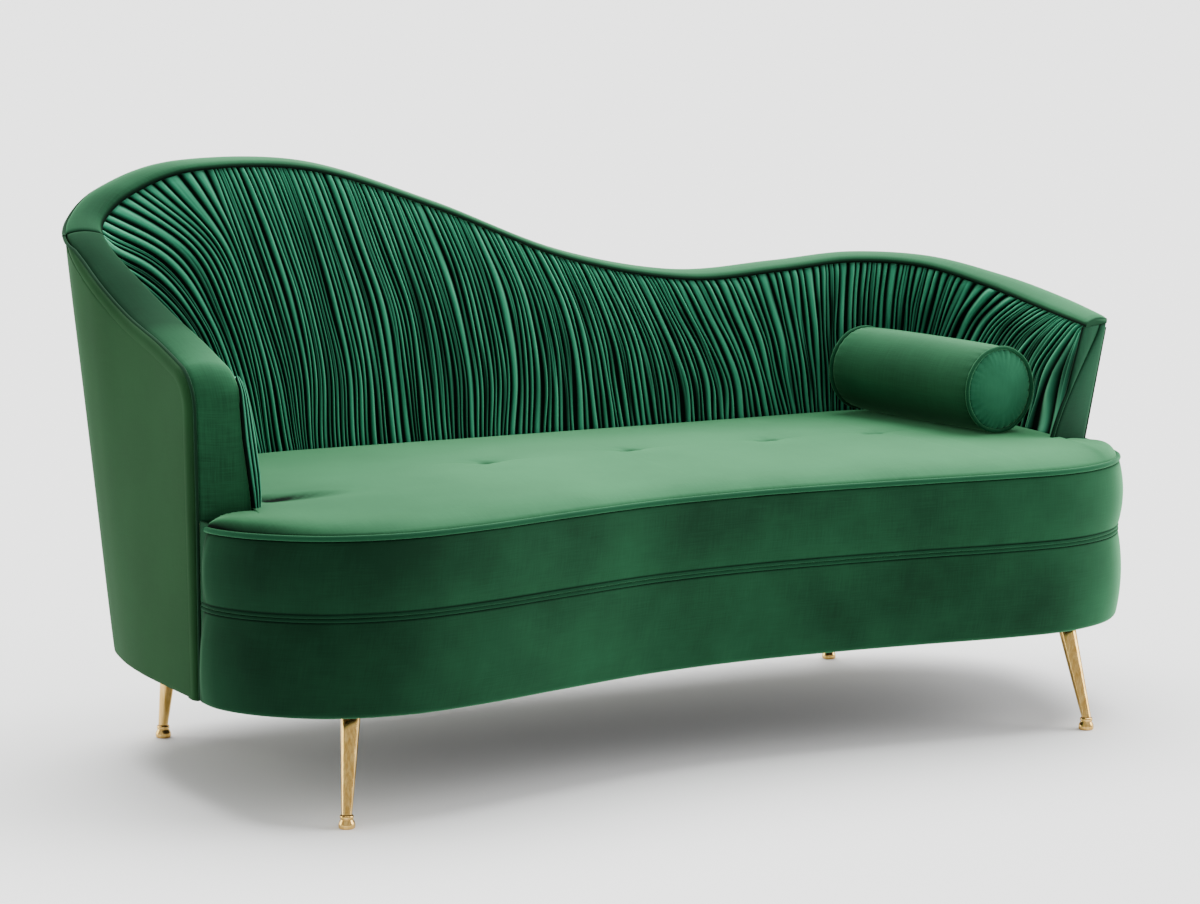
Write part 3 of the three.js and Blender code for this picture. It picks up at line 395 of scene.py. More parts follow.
lean = chance.uniform(0.7, 1.45, fold_count)[fold_of]
ridge = np.sin(np.pi * blend_next**lean)[:, None] ** 0.8
second = np.clip(chance.uniform(-0.5, 0.35, (fold_count, 1)) + wander(19, (fold_count, FOLD_ROWS), 1.3, 0.5), 0, 0.7)
second = (second * share(heights / 0.25))[fold_of]
second_ridge = np.abs(np.sin(2 * np.pi * blend_next))[:, None] ** 0.8
body_of_fold = np.clip(FOLD_BODY + wander(23, (fold_count, FOLD_ROWS), 1.6, 0.42), 0.25, 1.1)[fold_of]
fold_z = SEAT_BACK + heights * (top_height(fold_u, TOP_INSET) - SEAT_BACK)
width = np.linalg.norm(np.gradient(inner_wall(fold_u, fold_z), axis=0), axis=-1) / np.gradient(columns)[:, None]
second *= share((width - WIDE_FOLD) / 0.003)
relief = np.minimum(FOLD_DEPTH, 0.95 * width) * body_of_fold * (fold_widths[fold_of, None].clip(0.7, 1.3) ** 0.5)
height_share = mixed(ridge, second_ridge, second)
tuck = TUCK * share((heights - 0.93) / 0.07) ** 2
face = moved(inner_wall, fold_u, fold_z, relief * height_share - GROOVE_DEPTH - tuck)
face = np.concatenate([at_height(face[:, :1, :2], HIDDEN_FOOT), face], 1)
back_z = fold_z[:, BACKING_ROWS]
back_z[:, 0] = HIDDEN_FOOT
backing = moved(inner_wall, fold_u[:, BACKING_ROWS], back_z, -BACKING_DEPTH - 0.9 * tuck[BACKING_ROWS] + 0 * back_z)
# Painted light and shade: each fold gets a painted brightness that wanders. It is lower on the left and end folds and
# full near the top, and the grooves are painted dark as shade.
lit = FOLD_LIGHT + wander(29, (fold_count, FOLD_ROWS), 1.2, 0.4) + 0.45 * (fold_widths[:, None] - 0.9)
lit = np.clip(lit, 0.3, 1)
lit = mixed(lit, 1, share((heights - 0.75) / 0.25))
lit[:LEFT_FOLDS] *= LEFT_SHADE
lit[-END_FOLDS:] *= END_SHADE
shade_softening = np.where(fold_of < fold_count - END_FOLDS, 1, SOFT_SHADE_ENDS)[:, None]
shade_sharpness = shade_softening * mixed(SHADE_SHARP_FOOT, SHADE_SHARP_TOP, heights**3)
painted_light = height_share**shade_sharpness * lit[fold_of]
painted_light = np.concatenate([painted_light[:, :1], painted_light], 1)
cloth = laid_out(columns * CLOTH_PER_FOLD, face[..., 2])
gathered = pad("gathered_back", face, backing, painted_light=painted_light, cloth=cloth)
print("gathered back:", len(gathered.data.polygons), "faces, fold width mm", np.round(1000 * width.mean(), 1))

# %% [markdown]
# ## The outer wall's cover
# One smooth piece of velvet covers the wall's outside. It sinks a little at each seam, where its edge is turned in
# under the piping, so its rim is rounded and its middle stands a touch proud. At the right it ends above the bands.

# %% Outer cover
ARM_FOOT, COVER_TOP, COVER_END = 0.4285, 0.0075, 0.0006
COVER_ROUND, COVER_SWELL, COVER_DEPTH = 0.006, 0.0015, 0.012
wall_u = np.concatenate([
    mixed(0, ARM_CORNER / LEFT_RUN, np.linspace(0.19, 1, 14)[:-1] ** 1.4),
    np.linspace(ARM_CORNER / LEFT_RUN, RIGHT_SEAM, 200),
    np.linspace(RIGHT_SEAM + 0.0005, 1 - COVER_END / RIGHT_RUN, 18),
])
wall_foot = np.where(wall_u > RIGHT_SEAM + 0.0002, ARM_FOOT, LEG_HEIGHT)
wall_rows = np.concatenate([np.linspace(0, 0.03, 5), np.linspace(0.06, 0.94, 22), np.linspace(0.97, 1, 5)])
u = np.repeat(wall_u[:, None], len(wall_rows), 1)
z = mixed(wall_foot[:, None], top_height(wall_u, COVER_TOP)[:, None], wall_rows)
from_rim = np.minimum(z - wall_foot[:, None], top_height(u, COVER_TOP) - z)
from_end = np.minimum(u * LEFT_RUN - BORDER_DEPTH, (1 - u) * RIGHT_RUN - COVER_END).clip(0)
from_rim = np.minimum(from_rim, from_end)
swell = COVER_SWELL * (1 - np.exp(-from_rim / 0.05))
front = outer_wall(u, z) + across_wall(u) * (rounded(from_rim, COVER_ROUND) - swell)[..., None]
back = outer_wall(u, z) + across_wall(u) * COVER_DEPTH
run = length_along(plan(OUTER_FOOT, wall_u))
# Painted shade: the cover's colour darkens towards each seam and towards its ends.
painted_lit = share(from_rim / COVER_ROUND)
outer_cover = pad("outer_back_cover", front, back, painted_light=painted_lit, cloth=laid_out(run, z), sharp=50)
print("outer cover:", len(outer_cover.data.polygons), "faces")

# %% [markdown]
# ## The borders
# A padded band runs along the top of the back and, on the left, turns down the arm's front. Its section is a shallow
# cushion: nearly flat in the middle and round at the two seams. One function sweeps that section along any path
# of stations and heights, so the top border, the left arm's border and the right arm's front are all made by it.

# %% Borders
BORDER_SAMPLES = np.array([0, 0.015, 0.04, 0.08, 0.14, 0.24, 0.37, 0.5, 0.63, 0.76, 0.86, 0.92, 0.96, 0.985, 1])
SEAM_GAP, BORDER_END = 0.0004, 0.0003
PAD_DEPTH, SEAM_ROUND, END_ROUND, SEAM_SHADE = 0.008, 0.0075, 0.002, 0.0035


def rim_frame(outer_path, inner_path):
    """The wall's edge along a path: its outer and inner points and the way out of the wall there."""
    outer, inner = outer_wall(*outer_path), inner_wall(*outer_path)
    middle = (outer + inner) / 2
    return outer, inner, unit(middle - (outer_wall(*inner_path) + inner_wall(*inner_path)) / 2)


def border(name, outer_path, inner_path, crown, ends=(1, 1), margins=(0, 0)):
    outer, inner, outward = rim_frame(outer_path, inner_path)
    width = np.linalg.norm(outer - inner, axis=-1)
    low, high = np.broadcast_to(margins[0] / width, width.shape), 1 - np.broadcast_to(margins[1] / width, width.shape)
    shares = low[:, None] + (high - low)[:, None] * BORDER_SAMPLES
    top = mixed(outer[:, None], inner[:, None], shares[..., None])
    base = top - outward[:, None] * PAD_DEPTH
    from_seam = np.minimum(BORDER_SAMPLES, 1 - BORDER_SAMPLES) * (width * (high - low))[:, None]
    along = length_along(top[:, len(BORDER_SAMPLES) // 2])
    to_end = np.minimum(along if ends[0] else along + 1, (along[-1] - along) if ends[1] else along[-1] - along + 1)
    drop = np.maximum(rounded(from_seam, SEAM_ROUND), rounded(to_end, END_ROUND)[:, None])
    rise = crown * np.sin(np.pi * BORDER_SAMPLES) ** 0.8 * (1 - 0.25 * np.exp(-to_end / 0.02))[:, None]
    slack = wander(61, (1, len(along)), len(along) / 22, 0.0006).T * np.sin(np.pi * BORDER_SAMPLES)
    face = top + outward[:, None] * (rise - drop + slack + 0.0004)[..., None]
    # Painted shade: the border darkens towards its two seams and at its ends.
    border_painted_lit = share(np.minimum(from_seam / SEAM_SHADE, 0.35 + to_end[:, None] / 0.003))
    return pad(name, face, base, painted_light=border_painted_lit, cloth=laid_out(along, shares * width[:, None]), sharp=60)


top_u = np.linspace(CROSS_SEAM + SEAM_GAP, 1 - BORDER_END / RIGHT_RUN, 230)
top_border = border("top_border", (top_u, top_height(top_u, 0)), (top_u, top_height(top_u, BORDER_DEPTH)), BORDER_CROWN)

falling_u = np.linspace(CROSS_SEAM - SEAM_GAP, ARM_CORNER / LEFT_RUN, 66)
turn = np.linspace(0, np.pi / 2, 22)[1:]


def arm_path(inset, foot, steps):
    u = np.concatenate([falling_u, (ARM_CORNER - (ARM_CORNER - inset) * np.sin(turn)) / LEFT_RUN])
    z = np.concatenate([
        top_height(falling_u, inset),
        slope_height(u[-len(turn):]) - ARM_CORNER + (ARM_CORNER - inset) * np.cos(turn),
    ])
    down = np.linspace(z[-1], foot, steps)[1:]
    return np.concatenate([u, np.full(len(down), u[-1])]), np.concatenate([z, down])


# %% [markdown]
# On the left arm the outer cover rolls over the edge by about a finger's width, and the piped seam lies on the front
# face, not on the corner. So the arm's border starts inside that seam. Its inner edge draws in at the top of the arm,
# where the last folds of the back come round to the front.

# %% The left arm
ROLL, ROLL_SEAM, ARM_END, FLOOR_END = 0.0118, 0.0022, 0.4285, LEG_HEIGHT + 0.0004
DRAWN_HEIGHTS, DRAWN = [0.43, 0.47, 0.50, 0.55, 0.60, 0.625], [-0.002, 0, 0.003, 0.008, 0.010, 0.006]


def roll_width(u, z):
    """How far the cover rolls over the left arm's edge."""
    leaving = share((CROSS_SEAM - u) * STATIONS / 1.1)
    low = mixed(0.6, 0.85, share((z - LEG_HEIGHT) / (0.45 - LEG_HEIGHT)))
    return ROLL * leaving**2 * (3 - 2 * leaving) * low


edge_path, depth_path = (arm_path(inset, ARM_END, 28) for inset in (0, BORDER_DEPTH))
half_way = 34
reached = share((np.arange(len(edge_path[0])) - half_way) / (len(falling_u) - half_way))
drawn_in = np.interp(edge_path[1], DRAWN_HEIGHTS, DRAWN) * (reached**2 * (3 - 2 * reached))
margins = (roll_width(*edge_path) + ROLL_SEAM, drawn_in)
arm_border = border("left_arm_border_pad", edge_path, depth_path, BORDER_CROWN, (1, 0), margins)

ROLL_SECTION = np.array([
    (-0.026, 0.0012), (-0.019, 0.0001), (-0.013, -0.0008), (-0.0075, -0.0007), (-0.0035, 0.0003), (-0.0008, 0.0022),
    (0.0016, 0.0050), (0.0028, 0.0078), (0.0026, 0.0100), (0.0008, 0.0122),
])
ROLL_LINING = np.array([(-0.022, 0.0075), (-0.006, 0.0120)])
long_edge, half_edge, long_depth = (arm_path(inset, FLOOR_END, 60) for inset in (0, BORDER_DEPTH / 2, BORDER_DEPTH))
edge, _, outward = rim_frame(long_edge, long_depth)
across = across_wall(long_edge[0])
rolled = (roll_width(*long_edge) / ROLL)[:, None, None]


def roll_points(section):
    up, over = section[:, 0, None], section[:, 1, None]
    return edge[:, None] + outward[:, None] * np.where(up > 0, up * rolled, up) + across[:, None] * (over * rolled)


cover_roll = pad("arm_cover_roll", roll_points(ROLL_SECTION), roll_points(ROLL_LINING), sharp=60)
print(arm_border.name, len(arm_border.data.polygons), cover_roll.name, len(cover_roll.data.polygons), "faces")

# %% [markdown]
# Below the arm the same front cloth goes on as a narrow strip to the floor, between the piped seam and the bands.
# The folds that come round the arm's inner edge are three narrow ridges on one small pad.

# %% Strip and end folds
STRIP_DEPTH, STRIP_SWELL, PAST_CORD, BEHIND_BANDS = 0.006, 0.0015, 0.0045, 0.005
RIDGES, RIDGE_HEIGHT, FOLD_BACK = 3, 0.0036, 0.016
END_HEIGHTS = [0.4345, 0.47, 0.50, 0.55, 0.604, 0.632, 0.637]
END_LOW = [1.03, 1.0, 0.965, 0.91, 0.885, 0.92, 0.95]
END_HIGH = [1.15, 1.18, 1.18, 1.13, 1.05, 1.04, 1.04]


def lane(path, low, high, ways):
    """Points along a path on the wall's edge, from one share of its thickness across to another."""
    shares = mixed(low[:, None], high[:, None], ways)[..., None]
    return mixed(outer_wall(*path)[:, None], inner_wall(*path)[:, None], shares)


strip_z = np.linspace(LEG_HEIGHT + 0.0005, 0.4315, 40)
at_edge = strip_z * 0
start_u = np.interp(strip_z, [0.16, 0.309, 0.41, 0.4315], [0.22, 0.46, 0.60, 0.82]) / STATIONS
first = outer_wall(at_edge, strip_z) + across_wall(at_edge) * (roll_width(at_edge, strip_z) + PAST_CORD)[:, None]
last = moved(band_front, start_u, strip_z, np.full(40, -BEHIND_BANDS))
strip_out = sideways(band_front, start_u, strip_z)[:, None]
ways = np.array([0, 0.04, 0.1, 0.25, 0.5, 0.75, 0.9, 1])
swelling = STRIP_SWELL * np.sin(np.pi * ways) - 0.002 * (ways < 0.02)
strip_face = mixed(first[:, None], last[:, None], ways[:, None]) + strip_out * swelling[:, None]
# Painted shade: the strip darkens at its edge by the piped seam and towards the bands.
strip_painted_lit = share(ways / 0.08) * np.clip((1 - ways) / 0.12, 0.15, 1)
strip_back = strip_face - strip_out * STRIP_DEPTH
corner_strip = pad("left_corner_strip", strip_face, strip_back, painted_light=strip_painted_lit[None], sharp=60)

fold_rows = np.linspace(END_HEIGHTS[-1], END_HEIGHTS[0], 50)
low_share, high_share = (np.interp(fold_rows, END_HEIGHTS, shares) for shares in (END_LOW, END_HIGH))
corner_rise = np.clip(fold_rows - (ARM_HEIGHT - ARM_CORNER), 0, None)
fold_path = ((ARM_CORNER - np.sqrt(ARM_CORNER**2 - corner_rise**2)) / LEFT_RUN, fold_rows)
under_path = (fold_path[0] + BORDER_DEPTH / LEFT_RUN, fold_rows - BORDER_DEPTH * corner_rise / ARM_CORNER)
fold_out = rim_frame(fold_path, under_path)[2][:, None]
ways = np.linspace(0, 1, 41)
ripple = np.abs(np.sin(np.pi * RIDGES * ways)) ** 0.8
height = 0.0045 - 0.009 * ways**2.2 + RIDGE_HEIGHT * ripple - 0.006 * (ways < 0.01)
end_lane = lane(fold_path, low_share, high_share, ways)
# Painted light and shade: each ridge's crest is painted lit and the hollows between the ridges are painted dark.
end_folds = pad(
    "left_end_folds", end_lane + fold_out * height[:, None], end_lane - fold_out * FOLD_BACK,
    painted_light=0.62 * ripple[None] ** 3.2, sharp=60,
)
print(corner_strip.name, end_folds.name)

# %% [markdown]
# The right arm's front is a narrow wedge: a point at the top, where the border ends, and wider at the seat. One wide
# fold of the back fills the space beside it, and its edge is tucked in under the wedge.

# %% The right arm
WEDGE_HEIGHTS = [0.44, 0.47, 0.50, 0.53, 0.56, 0.59, 0.61, 0.63]
WEDGE = [1.17, 1.15, 1.08, 0.95, 0.77, 0.56, 0.42, 0.32]
front_z = np.linspace(ARM_FOOT, float(top_height(np.array(1.0), WALL_INSET)), 34)
wedge = np.interp(front_z, WEDGE_HEIGHTS, WEDGE)
arm_ends = [(np.full(34, 1 - run / RIGHT_RUN), front_z) for run in (0, BORDER_DEPTH)]
end_width = np.linalg.norm(outer_wall(*arm_ends[0]) - inner_wall(*arm_ends[0]), axis=-1)
arm_front = border("right_arm_front_pad", *arm_ends, BORDER_CROWN / 2, margins=(0, (1 - wedge) * end_width))

fold_rows = np.linspace(0.4305, 0.6295, 42)
low_share = np.interp(fold_rows, front_z, wedge) - 0.05
high_share = np.maximum(low_share + 0.12, 1.06)
fold_path = (np.ones(42), fold_rows)
fold_out = rim_frame(fold_path, (fold_path[0] - BORDER_DEPTH / RIGHT_RUN, fold_rows))[2][:, None]
ways = np.linspace(0, 1, 25)
swelling = 0.0035 * np.sin(np.pi * ways) ** 0.7
right_lane = lane(fold_path, low_share, high_share, ways)
# Painted shade: the fold darkens towards both its edges and is never painted fully lit.
right_fold = pad(
    "right_end_fold", right_lane + fold_out * (swelling - 0.003 - 0.003 * ways**2)[:, None],
    right_lane - fold_out * 0.010, painted_light=np.clip(swelling / 0.003, 0, 0.75)[None], sharp=60,
)
for made in (top_border, arm_border, arm_front):
    print(made.name, len(made.data.polygons), "faces")

# %% [markdown]
# ## Piping
# The outer seams are piped: a thin cord in a sleeve of the same cloth, sewn into the seam. It is a plain round tube,
# half sunk in the wall's edge, and it runs from the left arm's foot up and over the back to the right arm.

# %% Piping
PIPING, SUNK, SUNK_AT_RIGHT = 0.0032, 0.0020, 0.0042


def piping(name, u, z, sunk):
    facings = -sideways(outer_wall, u, z)
    path = outer_wall(u, z) + facings * (PIPING - sunk)
    return tube(name, cord_loops(path, facings, PIPING))


beside = -sideways(outer_wall, *long_edge)
outside_path = outer_wall(*half_edge) + beside * (PIPING - SUNK)
seam_path = edge + across * (roll_width(*long_edge) + 0.0012)[:, None] + outward * (0.0012 * rolled[:, 0] + 0.0012)
blend = share(rolled[:, 0] / 0.5)
cord_path = mixed(outside_path, seam_path, blend)
cord_path[-1, 2] = LEG_HEIGHT + PIPING / 2
left_piping = tube("left_arm_piping_cord", cord_loops(cord_path, mixed(beside, outward, blend), PIPING * 0.86))
long_u = np.linspace(CROSS_SEAM + SEAM_GAP, 1 - 0.0105 / RIGHT_RUN, 230)
long_piping = piping("back_top_piping_cord", long_u, top_height(long_u, BORDER_DEPTH / 2), SUNK)
end_z = np.linspace(float(top_height(np.array(1.0), BORDER_DEPTH + 2 * PIPING)), 0.436, 24)
right_piping = piping("right_arm_piping_cord", np.full(24, 1 - BORDER_DEPTH / 2 / RIGHT_RUN), end_z, SUNK_AT_RIGHT)
print("piping points:", len(cord_path), len(long_u), len(end_z))

# %% [markdown]
# ## The two bands of the base
# The base is dressed in two padded bands with a groove between them. Each band bulges between its seams, so light
# slides along it as on a cushion. A grid follows the curved front and its depth follows a rounded section.
# The bands start a little way round the left corner, and the upper one's corner is cut back to the seat's welt.

# %% Bands
BAND_BULGE, BAND_ROUND, BAND_END_ROUND, BAND_DEPTH, HALF_GROOVE, RUN_ROW = 0.009, 0.007, 0.004, 0.012, 0.0003, 15
band_share = np.linspace(0, 1, 260)
band_rows = np.concatenate([np.linspace(0, 0.1, 8)[:-1], np.linspace(0.1, 0.9, 20), np.linspace(0.9, 1, 8)[1:]])


def band(name, low, high, starts, seed, shade_margins):
    """A padded band. It starts at stations given by height, and its painted shade is measured from a margin at each
    edge, beside the cords.
    """
    z = mixed(low, high, band_rows)[None, :] * np.ones((len(band_share), 1))
    start = np.interp(z, *starts) / STATIONS
    u = start + (1 - start) * band_share[:, None]
    run = length_along(plan(BAND_FRONT, u[:, RUN_ROW]))
    from_seam = np.minimum(z - low, high - z)
    to_end = np.minimum(run, run[-1] - run)[:, None]
    bulge = BAND_BULGE * np.sin(np.pi * band_rows) ** 0.75 * share(to_end / 0.02) ** 0.5
    sunk = np.maximum(rounded(from_seam, BAND_ROUND), rounded(to_end, BAND_END_ROUND))
    slack = wander(seed, (1, len(run)), 9, 0.0006).T * np.sin(np.pi * band_rows)
    front = moved(band_front, u, z, bulge - sunk - slack)
    back = moved(band_front, u, z, np.full_like(z, -BAND_DEPTH))
    # Painted shade: the band darkens towards the cords along its edges and towards its ends.
    from_cord = np.minimum(z - low - shade_margins[0], high - z - shade_margins[1])
    painted_lit = share(np.minimum(from_cord / 0.005, to_end / 0.03 + 0.1))
    return pad(name, front, back, painted_light=painted_lit, cloth=laid_out(run, z))


lower_starts, upper_starts = ([0.16, 0.309], [0.1, 0.40]), ([0.309, 0.38, 0.41, 0.424], [0.40, 0.46, 0.52, 0.62])
lower_band = band("lower_band_pad", LEG_HEIGHT, GROOVE_HEIGHT - HALF_GROOVE, lower_starts, 31, (-0.002, 0.0052))
upper_band = band(
    "upper_band_pad", GROOVE_HEIGHT + HALF_GROOVE, SEAT_EDGE - 0.006, upper_starts, 37, (0.0052, 0.0018)
)
print("bands:", len(lower_band.data.polygons), len(upper_band.data.polygons), "faces")

# %% [markdown]
# ## Welts
# The seat's edge has one thick piped welt, and the groove between the bands holds two thin ones side by side.
# They follow the front outline exactly and are a little irregular, as a sewn cord is.

# %% Welts
SEAT_WELT, TWIN_WELT, TWIN_APART = 0.0042, 0.003, 0.00315


def welt(name, start, height, radius, seed):
    u = np.linspace(start / STATIONS, 1, 260)
    level = np.full_like(u, height)
    path = band_front(u, level)
    path[:, 2] += wander(seed, (len(u),), 7, 0.0004)
    swell = 1 + wander(seed + 1, (len(u),), 40, 0.03)
    loops = cord_loops(path, sideways(band_front, u, level), radius)
    return tube(name, path[:, None] + (loops - path[:, None]) * swell[:, None, None])


seat_welt = welt("seat_welt_cord", 0.56, SEAT_EDGE - SEAT_WELT, SEAT_WELT, 41)
upper_twin = welt("double_welt_upper_cord", 0.36, GROOVE_HEIGHT + TWIN_APART, TWIN_WELT, 43)
lower_twin = welt("double_welt_lower_cord", 0.34, GROOVE_HEIGHT - TWIN_APART, TWIN_WELT, 47)
print("welts:", seat_welt.name, upper_twin.name, lower_twin.name)

# %% [markdown]
# ## The seat
# The seat is one broad crowned pad, pulled down at four sewn tufts in a row. Its front edge rolls over to the welt.
# A grid runs from the front outline to the back, and its lines crowd together round each tuft, where the cloth is
# pinched into a short crease. Shaping it with a few smooth functions keeps its edge exactly on the welt.

# %% Seat outline
SEAT_BACK_AT = [-1, -0.4, 0, 1, 3.4, 6.1, 7.75, 8.85, 9.5, 10.15, 10.8, 11.6, 13.4, 16.8, 17.3, 17.7, 18, 18]
TUFTS = [0.3704, 0.4693, 0.5627, 0.6442]
TUFT_ROW, HOLLOW, PINCH, CREASE, STAR = 0.558, 0.0065, 0.0075, 0.0018, 0.0006
PUCKER, PUCKER_DEPTH, PUCKER_REACH = (-0.706, -0.172), 0.0070, 0.050
HOLLOW_REACH, PINCH_REACH, CREASE_REACH, ARM_PUCKERS = 0.022, (0.0105, 0.006), (0.030, 0.0035), 0.0016
CROWN, RISE_FRONT, RISE_LEFT, RISE_RIGHT, SEAT_PAD_DEPTH = 0.008, 0.042, 0.03, 0.045, 0.0055
FRONT_ROUND, BACK_ROUND, INSIDE_WELT, INTO_BACK = 0.005, 0.010, 0.0035, 0.0025
LEFT_GAP, RIGHT_GAP, LENGTH = 0.0095, 0.0075, 2 * HALF[0]
seat_start, seat_end = 0.60 / STATIONS, 15.4 / STATIONS


def seat_front(u):
    return moved(band_front, u, np.full_like(u, SEAT_EDGE), np.full_like(u, -INSIDE_WELT))


def seat_rear(u):
    facing = np.interp(u * STATIONS, np.arange(STATIONS + 1), SEAT_BACK_AT)
    on_wall = np.clip(facing, 0, STATIONS) / STATIONS
    rear = moved(inner_wall, on_wall, np.full_like(u, SEAT_BACK), np.full_like(u, INTO_BACK))
    past = np.abs(facing - on_wall * STATIONS)[..., None]
    to_end = np.minimum(facing, STATIONS - facing)
    gap = np.where(facing < STATIONS / 2, LEFT_GAP, RIGHT_GAP)
    rear[..., 1] -= gap * share(1 - to_end)
    corner = outer_wall(on_wall, np.full_like(u, SEAT_EDGE))
    corner[..., 1] -= gap
    rear = mixed(rear, corner, past)
    rear[..., 2] = 0
    return rear


seat_u = np.linspace(seat_start, seat_end, 190)
near = np.linspace(-0.06, 0.06, 37)
for station in TUFTS:
    seat_u = np.concatenate([seat_u, station + near / 2.7])
seat_u = np.unique(np.round(seat_u[(seat_u >= seat_start) & (seat_u <= seat_end)], 6))
steps = [np.linspace(0, 0.12, 16), np.linspace(0.12, 0.94, 34), np.linspace(0.94, 1, 7), TUFT_ROW + near]
seat_t = np.unique(np.round(np.concatenate(steps), 5))
u, t = np.meshgrid(seat_u, seat_t, indexing="ij")
front_edge, rear_edge = seat_front(seat_u), seat_rear(seat_u)
seat_plan = mixed(front_edge[:, None], rear_edge[:, None], t[..., None])
depth = np.linalg.norm(front_edge - rear_edge, axis=-1)[:, None]
from_left, from_right = (u - seat_start) * LENGTH, (seat_end - u) * LENGTH
print("seat grid:", seat_plan.shape)

# %% [markdown]
# The seat's height is a sum of plain terms: the rise behind the edge, the crown, the hollow, pinch and creases at
# each tuft, small puckers along the left arm, and one deep pull behind it, where the cloth is turned under the arm.

# %% Seat pad
side_rise = (1 - np.exp(-(from_left + 0.012) / RISE_LEFT)) * (1 - np.exp(-from_right / RISE_RIGHT))
edge_rise = (1 - np.exp(-t * depth / RISE_FRONT)) * side_rise
crown = CROWN * np.sin(np.pi * t) * np.sin(np.pi * (u - seat_start) / (seat_end - seat_start))
seat_z = SEAT_EDGE - 0.001 + (SEAT_BACK - SEAT_EDGE) * edge_rise + crown * side_rise
seat_z -= rounded(t * depth, FRONT_ROUND) * 0.6 + rounded((1 - t) * depth, BACK_ROUND) * 0.6
# Painted shade: tuft_shade darkens the seat's colour along each tuft's pinch, in the pull behind the left arm and
# towards the front left corner.
tuft_shade = np.ones_like(seat_z)
tuft_centres = mixed(seat_front(np.array(TUFTS)), seat_rear(np.array(TUFTS)), TUFT_ROW)
for k, centre in enumerate(tuft_centres):
    dx, dy = seat_plan[..., 0] - centre[0], seat_plan[..., 1] - centre[1]
    hollow = HOLLOW * np.exp(-((np.hypot(dx / 1.5, dy) / HOLLOW_REACH) ** 1.2))
    pinch = PINCH * np.exp(-((np.abs(dx) / PINCH_REACH[0]) ** 2) - (np.abs(dy) / PINCH_REACH[1]) ** 1.4)
    crease = CREASE * np.exp(-np.abs(dx) / CREASE_REACH[0] - (np.abs(dy + 0.12 * dx) / CREASE_REACH[1]) ** 1.2)
    star = np.cos(3 * np.arctan2(dy, dx) + k) * STAR * np.exp(-(((np.hypot(dx, dy) - 0.016) / 0.010) ** 2))
    seat_z -= hollow + pinch + crease + star
    tuft_shade -= 0.75 * np.exp(-((np.abs(dx) / 0.012) ** 2) - (np.abs(dy) / 0.0045) ** 2)
arm_side = np.exp(-from_left / 0.05) * np.exp(-((1 - t) * depth) / 0.045)
seat_z += ARM_PUCKERS * np.sin(seat_plan[..., 0] * 900 + seat_plan[..., 1] * 420) * arm_side
px, py = seat_plan[..., 0] - PUCKER[0], seat_plan[..., 1] - PUCKER[1]
pulled = np.exp(-((np.hypot(px.clip(0) * 0.42 - px.clip(None, 0) * 2, py * 1.5) / PUCKER_REACH) ** 1.5))
rays = np.sin(np.arctan2(py, px + 0.02) * 9) * share(np.hypot(px, py) / 0.03)
seat_z -= (PUCKER_DEPTH - 0.0006 * rays) * pulled
tuft_shade -= (1.05 + 0.10 * rays) * pulled + 1.3 * np.exp(-from_left / 0.22 - t * depth / 0.075)
seat_z += wander(53, (1, len(seat_u)), 5, 0.0006).T * np.sin(np.pi * t)
seat_face, seat_base = seat_plan.copy(), seat_plan.copy()
seat_face[..., 2] = seat_z
seat_base[..., 2] = SEAT_EDGE - SEAT_PAD_DEPTH
cloth = np.stack([seat_plan[..., 0], seat_plan[..., 1], seat_z * 0], -1)
# Painted shade: the seat darkens by tuft_shade and towards its back edge, where it meets the back.
seat_painted_lit = share(np.minimum(tuft_shade, 0.2 + (1 - t) * depth / 0.010))
seat_pad = pad("seat_cushion", seat_face, seat_base, painted_light=seat_painted_lit, cloth=cloth, sharp=70)
print("seat:", len(seat_pad.data.polygons), "faces, highest point", round(float(seat_z.max()), 4))

# %% [markdown]
# ## The bolster
# The bolster is a firm roll with a round cap sewn in at each end. The cap's cloth is eased into the piped rim, so short
# gathers stand all round it while its middle stays smooth and domed. The roll is built along its own axis, then laid
# in place by the middle of its CAD node. Only its underside is pressed level, where it rests on the seat.

# %% Bolster
body_low, body_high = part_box("bolster_body")
BOLSTER_MIDDLE = (body_low + body_high) / 2
BOLSTER_RADIUS, BOLSTER_HALF, WELT = 0.074, 0.1947, 0.0035
BOLSTER_TURN = -math.pi / 2 + 0.1
ROLL_SLACK, ROLL_SWELL, ROLL_PUCKER, SAG, PRESSED = 0.0035, 0.0028, 0.00055, 0.0012, 0.0003
CAP_DOME, CAP_GATHER, GATHERS = 0.0125, 0.0046, 34
CAP_FOOT = BOLSTER_HALF - 0.014
along_axis = np.array([math.cos(BOLSTER_TURN), math.sin(BOLSTER_TURN), 0])
across_axis = np.array([-along_axis[1], along_axis[0], 0])


angles = np.linspace(0, 2 * np.pi, 144, endpoint=False)


def on_bolster(a, r):
    """Points all round the bolster, from their places along its axis and their radius at each angle."""
    h = np.maximum(r * np.cos(angles), -BOLSTER_RADIUS - PRESSED)
    a, c = np.broadcast_to(a, h.shape), r * np.sin(angles)
    place = np.array(BOLSTER_MIDDLE)
    return place + a[..., None] * along_axis + c[..., None] * across_axis + h[..., None] * np.array([0, 0, 1])


a = np.concatenate([np.linspace(-1, -0.8, 14)[:-1], np.linspace(-0.8, 0.8, 34), np.linspace(0.8, 1, 14)[1:]])
a = a[:, None] * (CAP_FOOT - 0.0005)
from_end = CAP_FOOT - np.abs(a)
pucker = np.sin(angles * 31 + 2.2 * np.sin(angles * 3)) * ROLL_PUCKER * np.exp(-from_end / 0.012)
sag = SAG * np.sin(angles * 2 + 0.7) * np.sin(np.pi * (a / CAP_FOOT + 1) / 2)
r = BOLSTER_RADIUS - ROLL_SLACK + ROLL_SWELL * (1 - np.exp(-from_end / 0.018)) + pucker + sag
r = r - rounded(from_end, 0.003) * 0.8
loops = on_bolster(a, r)
